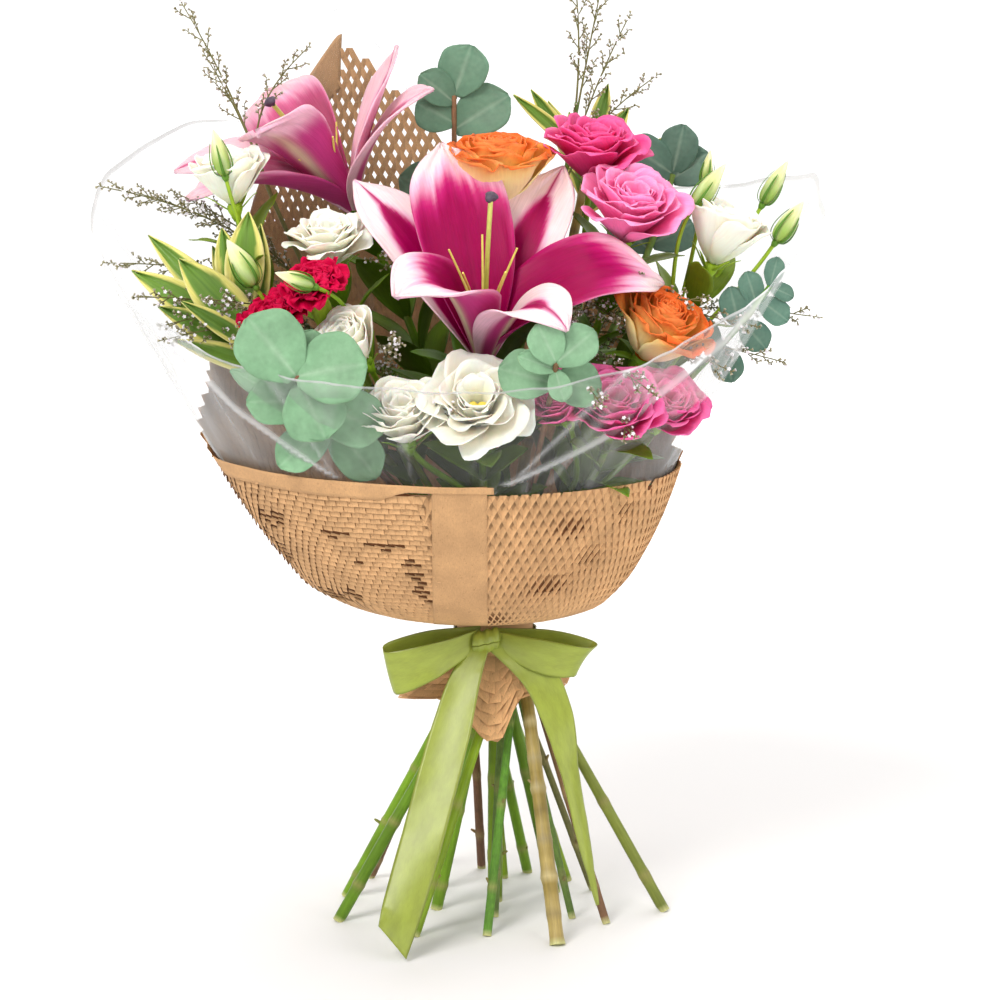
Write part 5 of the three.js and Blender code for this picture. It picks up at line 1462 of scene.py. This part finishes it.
def satin_material():
    material, tree, shader = nodes_of("satin_ribbon", Sheen_Weight=0.1, Sheen_Roughness=0.35, Anisotropic=0.4)
    place = attribute(tree, "grain", "Vector")
    warp = noise(tree, stretched(tree, place, 5, 0.25), 1, 2)
    weft = noise(tree, stretched(tree, place, 0.4, 7), 1, 2)
    # folds is painted light and shade: the ribbon lighter and darker in broad stretches along it, as its folds
    # would catch the light
    folds = noise(tree, stretched(tree, place, 0.12, 0.05), 1, 3)
    colour = toned(tree, attribute(tree, "tint", "Color"), (warp, 0.9, 1.08), (folds, 0.84, 1.12))
    tree.links.new(colour, shader.inputs["Base Color"])
    tree.links.new(ranged(tree, weft, 0.3, 0.7, 0.28, 0.4), shader.inputs["Roughness"])
    bumped(tree, shader, weft, 0.12, 0.0001)
    return material


PETAL = {"Subsurface_Weight": 0.12, "Subsurface_Scale": 0.003, "Specular_IOR_Level": 0.14}
PALE = {"Subsurface_Weight": 0.25, "Subsurface_Scale": 0.004, "Specular_IOR_Level": 0.2}
MATERIALS = {
    "kraft_paper": kraft_material(),
    "clear_film": film_material(),
    "satin_ribbon": satin_material(),
    "jute_twine": living("jute_twine", (3, 0.6, 0.25), (0.3, 0.2), 0.85, 0.6),
    "stem": living("green_stem", (1.1, 0.07, 0.16), (0.06, 0.16), 0.42, 0.35, Specular_IOR_Level=0.3),
    "leaf": living("soft_leaf", (1.3, 0.1, 0.14), (0.07, 0.14), 0.46, 0.3, Specular_IOR_Level=0.25),
    "eucalyptus": living("eucalyptus_leaf", (0.35, 0.3, 0.07), (0.09, 0.14), 0.55, 0.15,
                         Specular_IOR_Level=0.3),
    "striped": living("striped_leaf", (1.6, 0.05, 0.12), (0.06, 0.08), 0.38, 0.35, Specular_IOR_Level=0.3),
    "bud": living("bud_skin", (0.9, 0.08, 0.08), (0.1, 0.08), 0.42, 0.2, Subsurface_Weight=0.15,
                  Subsurface_Scale=0.003),
    "twig": living("dry_twig", (1.5, 0.2, 0.2), (0.2, 0.2), 0.7, 0.4),
    "floret": living("papery_floret", (2, 1, 0.1), (1, 0.1), 0.7, 0.1),
    "lily": living("lily_petal", (1.5, 0.05, 0.09), (0.08, 0.05), 0.4, 0.4, **PETAL),
    "style": living("lily_style", (1.2, 0.1, 0.1), (0.2, 0.1), 0.4, 0.2, Coat_Weight=0.15),
    "stigma": living("stigma", (2, 2, 0.3), (0.6, 0.2), 0.55, 0.5),
    "rose": living("rose_petal", (1.1, 0.08, 0.06), (0.09, 0.06), 0.5, 0.22, **PETAL),
    "white": living("white_petal", (1.2, 0.07, 0.035), (0.08, 0.03), 0.5, 0.25, **PALE),
    "pink": living("pink_petal", (1.2, 0.07, 0.1), (0.08, 0.06), 0.5, 0.3, **PETAL),
    "carnation": living("carnation_petal", (1.8, 0.1, 0.12), (0.12, 0.08), 0.6, 0.25, Specular_IOR_Level=0.1),
    "heart": living("flower_heart", (1.5, 0.3, 0.1), (0.2, 0.1), 0.5, 0.3),
}


# The bouquet: each piece with its node and its materials
kraft_wrap().make("kraft_wrap", "kraft_paper", "kraft_paper")
clear_film().make("film_wrap", "clear_film", "clear_film")
twine().make("twine_tie", "jute_twine", "jute_twine")
bow = ribbon().make("ribbon_bow", "satin_ribbon", "satin_ribbon")

# The bark of the woody and dry stalks; the flower stems have their colour in STEMS
WOODY = "striped_leaves_back"
STALKS = {
    "eucalyptus_left": 0x75503A,
    "eucalyptus_front": 0x75573C,
    "eucalyptus_high": 0x66803A,
    "eucalyptus_top": 0x7C5A3E,
    "eucalyptus_right": 0x5C8E2A,
    "sea_lavender_left": 0x6C6A3A,
    "sea_lavender_right": 0x5E7A34,
    "striped_leaves_left": 0x7F8A3A,
    "striped_leaves_back": 0x8FA03E,
}
# Sprays of sea lavender between the blooms, besides those in STEMS
FILLERS = {
    "sea_lavender_left": [
        dict(at=0.45, tips=[[-148, -78, 354], [-170, -74, 334], [-135, -82, 336]]),
        dict(at=0.3, tips=[[-52, -98, 334], [-76, -96, 300], [-24, -112, 300]]),
    ],
    "sea_lavender_right": [
        dict(at=0.35, tips=[[54, -126, 307], [82, -116, 310], [70, -112, 290]]),
        dict(at=0.5, tips=[[-61, -40, 372], [-40, -10, 392], [43, -70, 342]]),
        dict(at=0.4, tips=[[120, -70, 318], [136, -50, 338], [108, -60, 352]]),
    ],
}
EUCALYPTUS_TINTS = {
    "eucalyptus_left": 0x6E9472,
    "eucalyptus_front": 0x6E9272,
    "eucalyptus_high": 0x486356,
    "eucalyptus_top": 0x567761,
    "eucalyptus_right": 0x4C6C5E,
}


# Pairs of leaves by the start of a stem's name: their places as shares of the stem, length, width and shade
PAIRS = {
    "stem_white": ([0.4, 0.5, 0.6, 0.7, 0.8, 0.88], 42, 18, 0.55),
    "stem_pink": ([0.4, 0.5, 0.6, 0.7, 0.8, 0.88], 42, 18, 0.55),
    "stem_lily": ([0.4, 0.48, 0.56, 0.64, 0.72, 0.8, 0.88], 62, 20, 0.6),
    "stem_rose": ([0.44, 0.54, 0.64, 0.74, 0.84], 44, 24, 0.55),
}
# Slot and materials by the first word of a stem's name
DRESS = {
    "stem": ("green_stem", "stem", "leaf", "bud"),
    "eucalyptus": ("eucalyptus_leaf", "twig", "eucalyptus"),
    "sea": ("sea_lavender", "twig", "floret", "floret"),
    "striped": ("striped_leaf", "stem", "striped"),
}


def dress_stem(route, number):
    """One stem with its shoots, cups, buds, leaves and sprays."""
    name, upper = route["name"], route["upper"]
    stem = STEMS[name]
    tint = rgb(STALKS[name]) * 1.15 if name in STALKS else rgb(stem["color"]) * np.array([1.7, 1.25, 0.55])
    form = Form()
    leafy_stem(form, route, stem, tint, name == WOODY)
    shoot_bars(form, route, tint)
    for item in [stem, *stem.get("shoots", [])]:
        if "bloom" in item:
            cup(form, BLOOMS[item["bloom"]], tint * 1.15)
    for k, bud in enumerate(stem.get("buds", [])):
        bud_form(form, bud, k + number)
    spots = at_shares(upper, np.linspace(0, 1, 81))
    for k, (foot, tip, width) in enumerate(stem.get("leaves", [])):
        leaf = spots[np.argmin(np.linalg.norm(spots - foot, axis=1))], tip, width
        if name in EUCALYPTUS_TINTS:
            round_leaf(form, leaf, rgb(EUCALYPTUS_TINTS[name]), number * 3 + k)
        else:
            shape = dict(blunt=1.3, widest=0.45, ruffle=0.5)
            rows, grain, u, v = leaf_rows(leaf, LEAF_FACE, "plain_leaf", k, 10, **shape)
            form.sheet(rows, THICK["leaf"], grain, tint * 0.7, tint * 0.8, 1)
    for i, (share, tip, width) in enumerate(stem.get("blades", [])):
        base = at_shares(upper, share)[0]
        face = (0.3 * unit(np.subtract(tip, base))[0], -1, 0.5)
        striped_leaf(form, (base, tip, width), face, number + i)
    for i, given in enumerate(stem.get("sprays", []) + FILLERS.get(name, [])):
        spray(form, route, given, i, rgb(0x6C6A3A))
    for start, (shares, length, width, shade) in PAIRS.items():
        if name.startswith(start):
            pair_leaves(form, upper, shares, length, width, tint * shade, number)
    form.make(name, *DRESS[name.split("_")[0]])


for number, route in enumerate(STEM_ROUTES):
    dress_stem(route, number)

# Colours of the lisianthus petals at the base, over most of them and at the rim, by the start of the name
LISIANTHUS = {
    "white": (0xF0E7B8, 0xFFF8E6, 0xFFFDF4),
    "pink_back": (0xC61C68, 0xE83C86, 0xF470AC),
    "pink_high": (0xEA5298, 0xFF86C0, 0xFFA8D2),
    "pink": (0xC82870, 0xE8509A, 0xF480B6),
}
for name, bloom in BLOOMS.items():
    form = Form()
    if bloom["kind"] == "lily":
        lily(form, bloom, name == "lily_front_petals")
        form.make(name, "lily_petal", "lily", "heart")
    elif bloom["kind"] == "rose":
        rose(form, bloom)
        form.make(name, "rose_petal", "rose")
    elif bloom["kind"] == "carnation":
        carnation(form, bloom)
        form.make(name, "carnation_petal", "carnation")
    else:
        hue = name.split("_")[0]
        tints = next(given for start, given in LISIANTHUS.items() if name.startswith(start))
        lisianthus(form, bloom, tints)
        form.make(name, hue + "_petal", hue, "heart")
for name, style in (("lily_front", (4, 6, 104)), ("lily_back", (3, -8, 80))):
    form = Form()
    pistil(form, BLOOMS[name + "_petals"], style)
    form.make(name + "_pistil", "lily_pistil", "style", "stigma")


# Floor, light and camera
def floor():
    """A white sheet that curves up behind the bouquet."""
    turn = np.linspace(0, math.pi / 2, 17)
    profile = [(-5, 0), (3, 0), *zip(3 + 3 * np.sin(turn), 3 - 3 * np.cos(turn)), (6, 9)]
    corners = [(x, y, z) for y, z in profile for x in (-12, 12)]
    mesh = bpy.data.meshes.new("floor")
    mesh.from_pydata(corners, [], [(2 * i, 2 * i + 1, 2 * i + 3, 2 * i + 2) for i in range(len(profile) - 1)])
    plane = bpy.data.objects.new("floor", mesh)
    bpy.context.collection.objects.link(plane)
    finish = dict(Base_Color=(0.84, 0.84, 0.85, 1), Roughness=0.8, Emission_Color=(1, 1, 1, 1))
    material, tree, shader = nodes_of("floor", **finish)
    # Painted light: the sheet glows, not at all within 0.4 m of the bouquet and up to 0.55 beyond 1.6 m, so
    # the backdrop stays white while the floor by the stems keeps its shadow
    place = linked(tree, "ShaderNodeNewGeometry").outputs["Position"]
    away = linked(tree, "ShaderNodeVectorMath", {0: place}, operation="LENGTH").outputs["Value"]
    tree.links.new(ranged(tree, away, 0.4, 1.6, 0, 0.55), shader.inputs["Emission Strength"])
    mesh.materials.append(material)


def light(name, at, size, power):
    """A square lamp that faces the middle of the bouquet."""
    lamp = bpy.data.lights.new(name, "AREA")
    lamp.energy = power
    lamp.color = (1, 0.965, 0.92)
    lamp.size = size
    thing = bpy.data.objects.new(name, lamp)
    thing.location = at
    thing.rotation_euler = (Vector((0, 0, 0.3)) - Vector(at)).to_track_quat("-Z", "Y").to_euler()
    bpy.context.collection.objects.link(thing)


floor()
for name, at, size, watts in (
    ("key", (-1.0, -1.5, 1.9), 1.0, 40),
    ("fill", (1.5, -1.5, 0.9), 1.6, 15),
    ("top", (0.2, 0.5, 2.4), 1.8, 20),
    ("back", (0.6, 1.8, 1.2), 1.6, 10),
):
    light(name, at, size, watts)
world = bpy.data.worlds.new("studio")
bpy.context.scene.world = world
world.use_nodes = True
background = world.node_tree.nodes["Background"]
background.inputs["Color"].default_value = (1, 1, 1, 1)
background.inputs["Strength"].default_value = 0.5
bpy.context.scene.view_settings.view_transform = "Standard"

# The camera of the photograph: 1.8 m away, 10 degrees above level
TARGET = Vector((0.0028, 0, 0.233))
DISTANCE = 1.8
RISE = math.radians(10)
BACK = Vector((0, -math.cos(RISE), math.sin(RISE)))
camera_data = bpy.data.cameras.new("camera")
camera_data.lens = 115.7
camera_data.sensor_width = 36
camera = bpy.data.objects.new("camera", camera_data)
bpy.context.collection.objects.link(camera)
bpy.context.scene.camera = camera
camera.location = TARGET + BACK * DISTANCE
camera.rotation_euler = (-BACK).to_track_quat("-Z", "Y").to_euler()
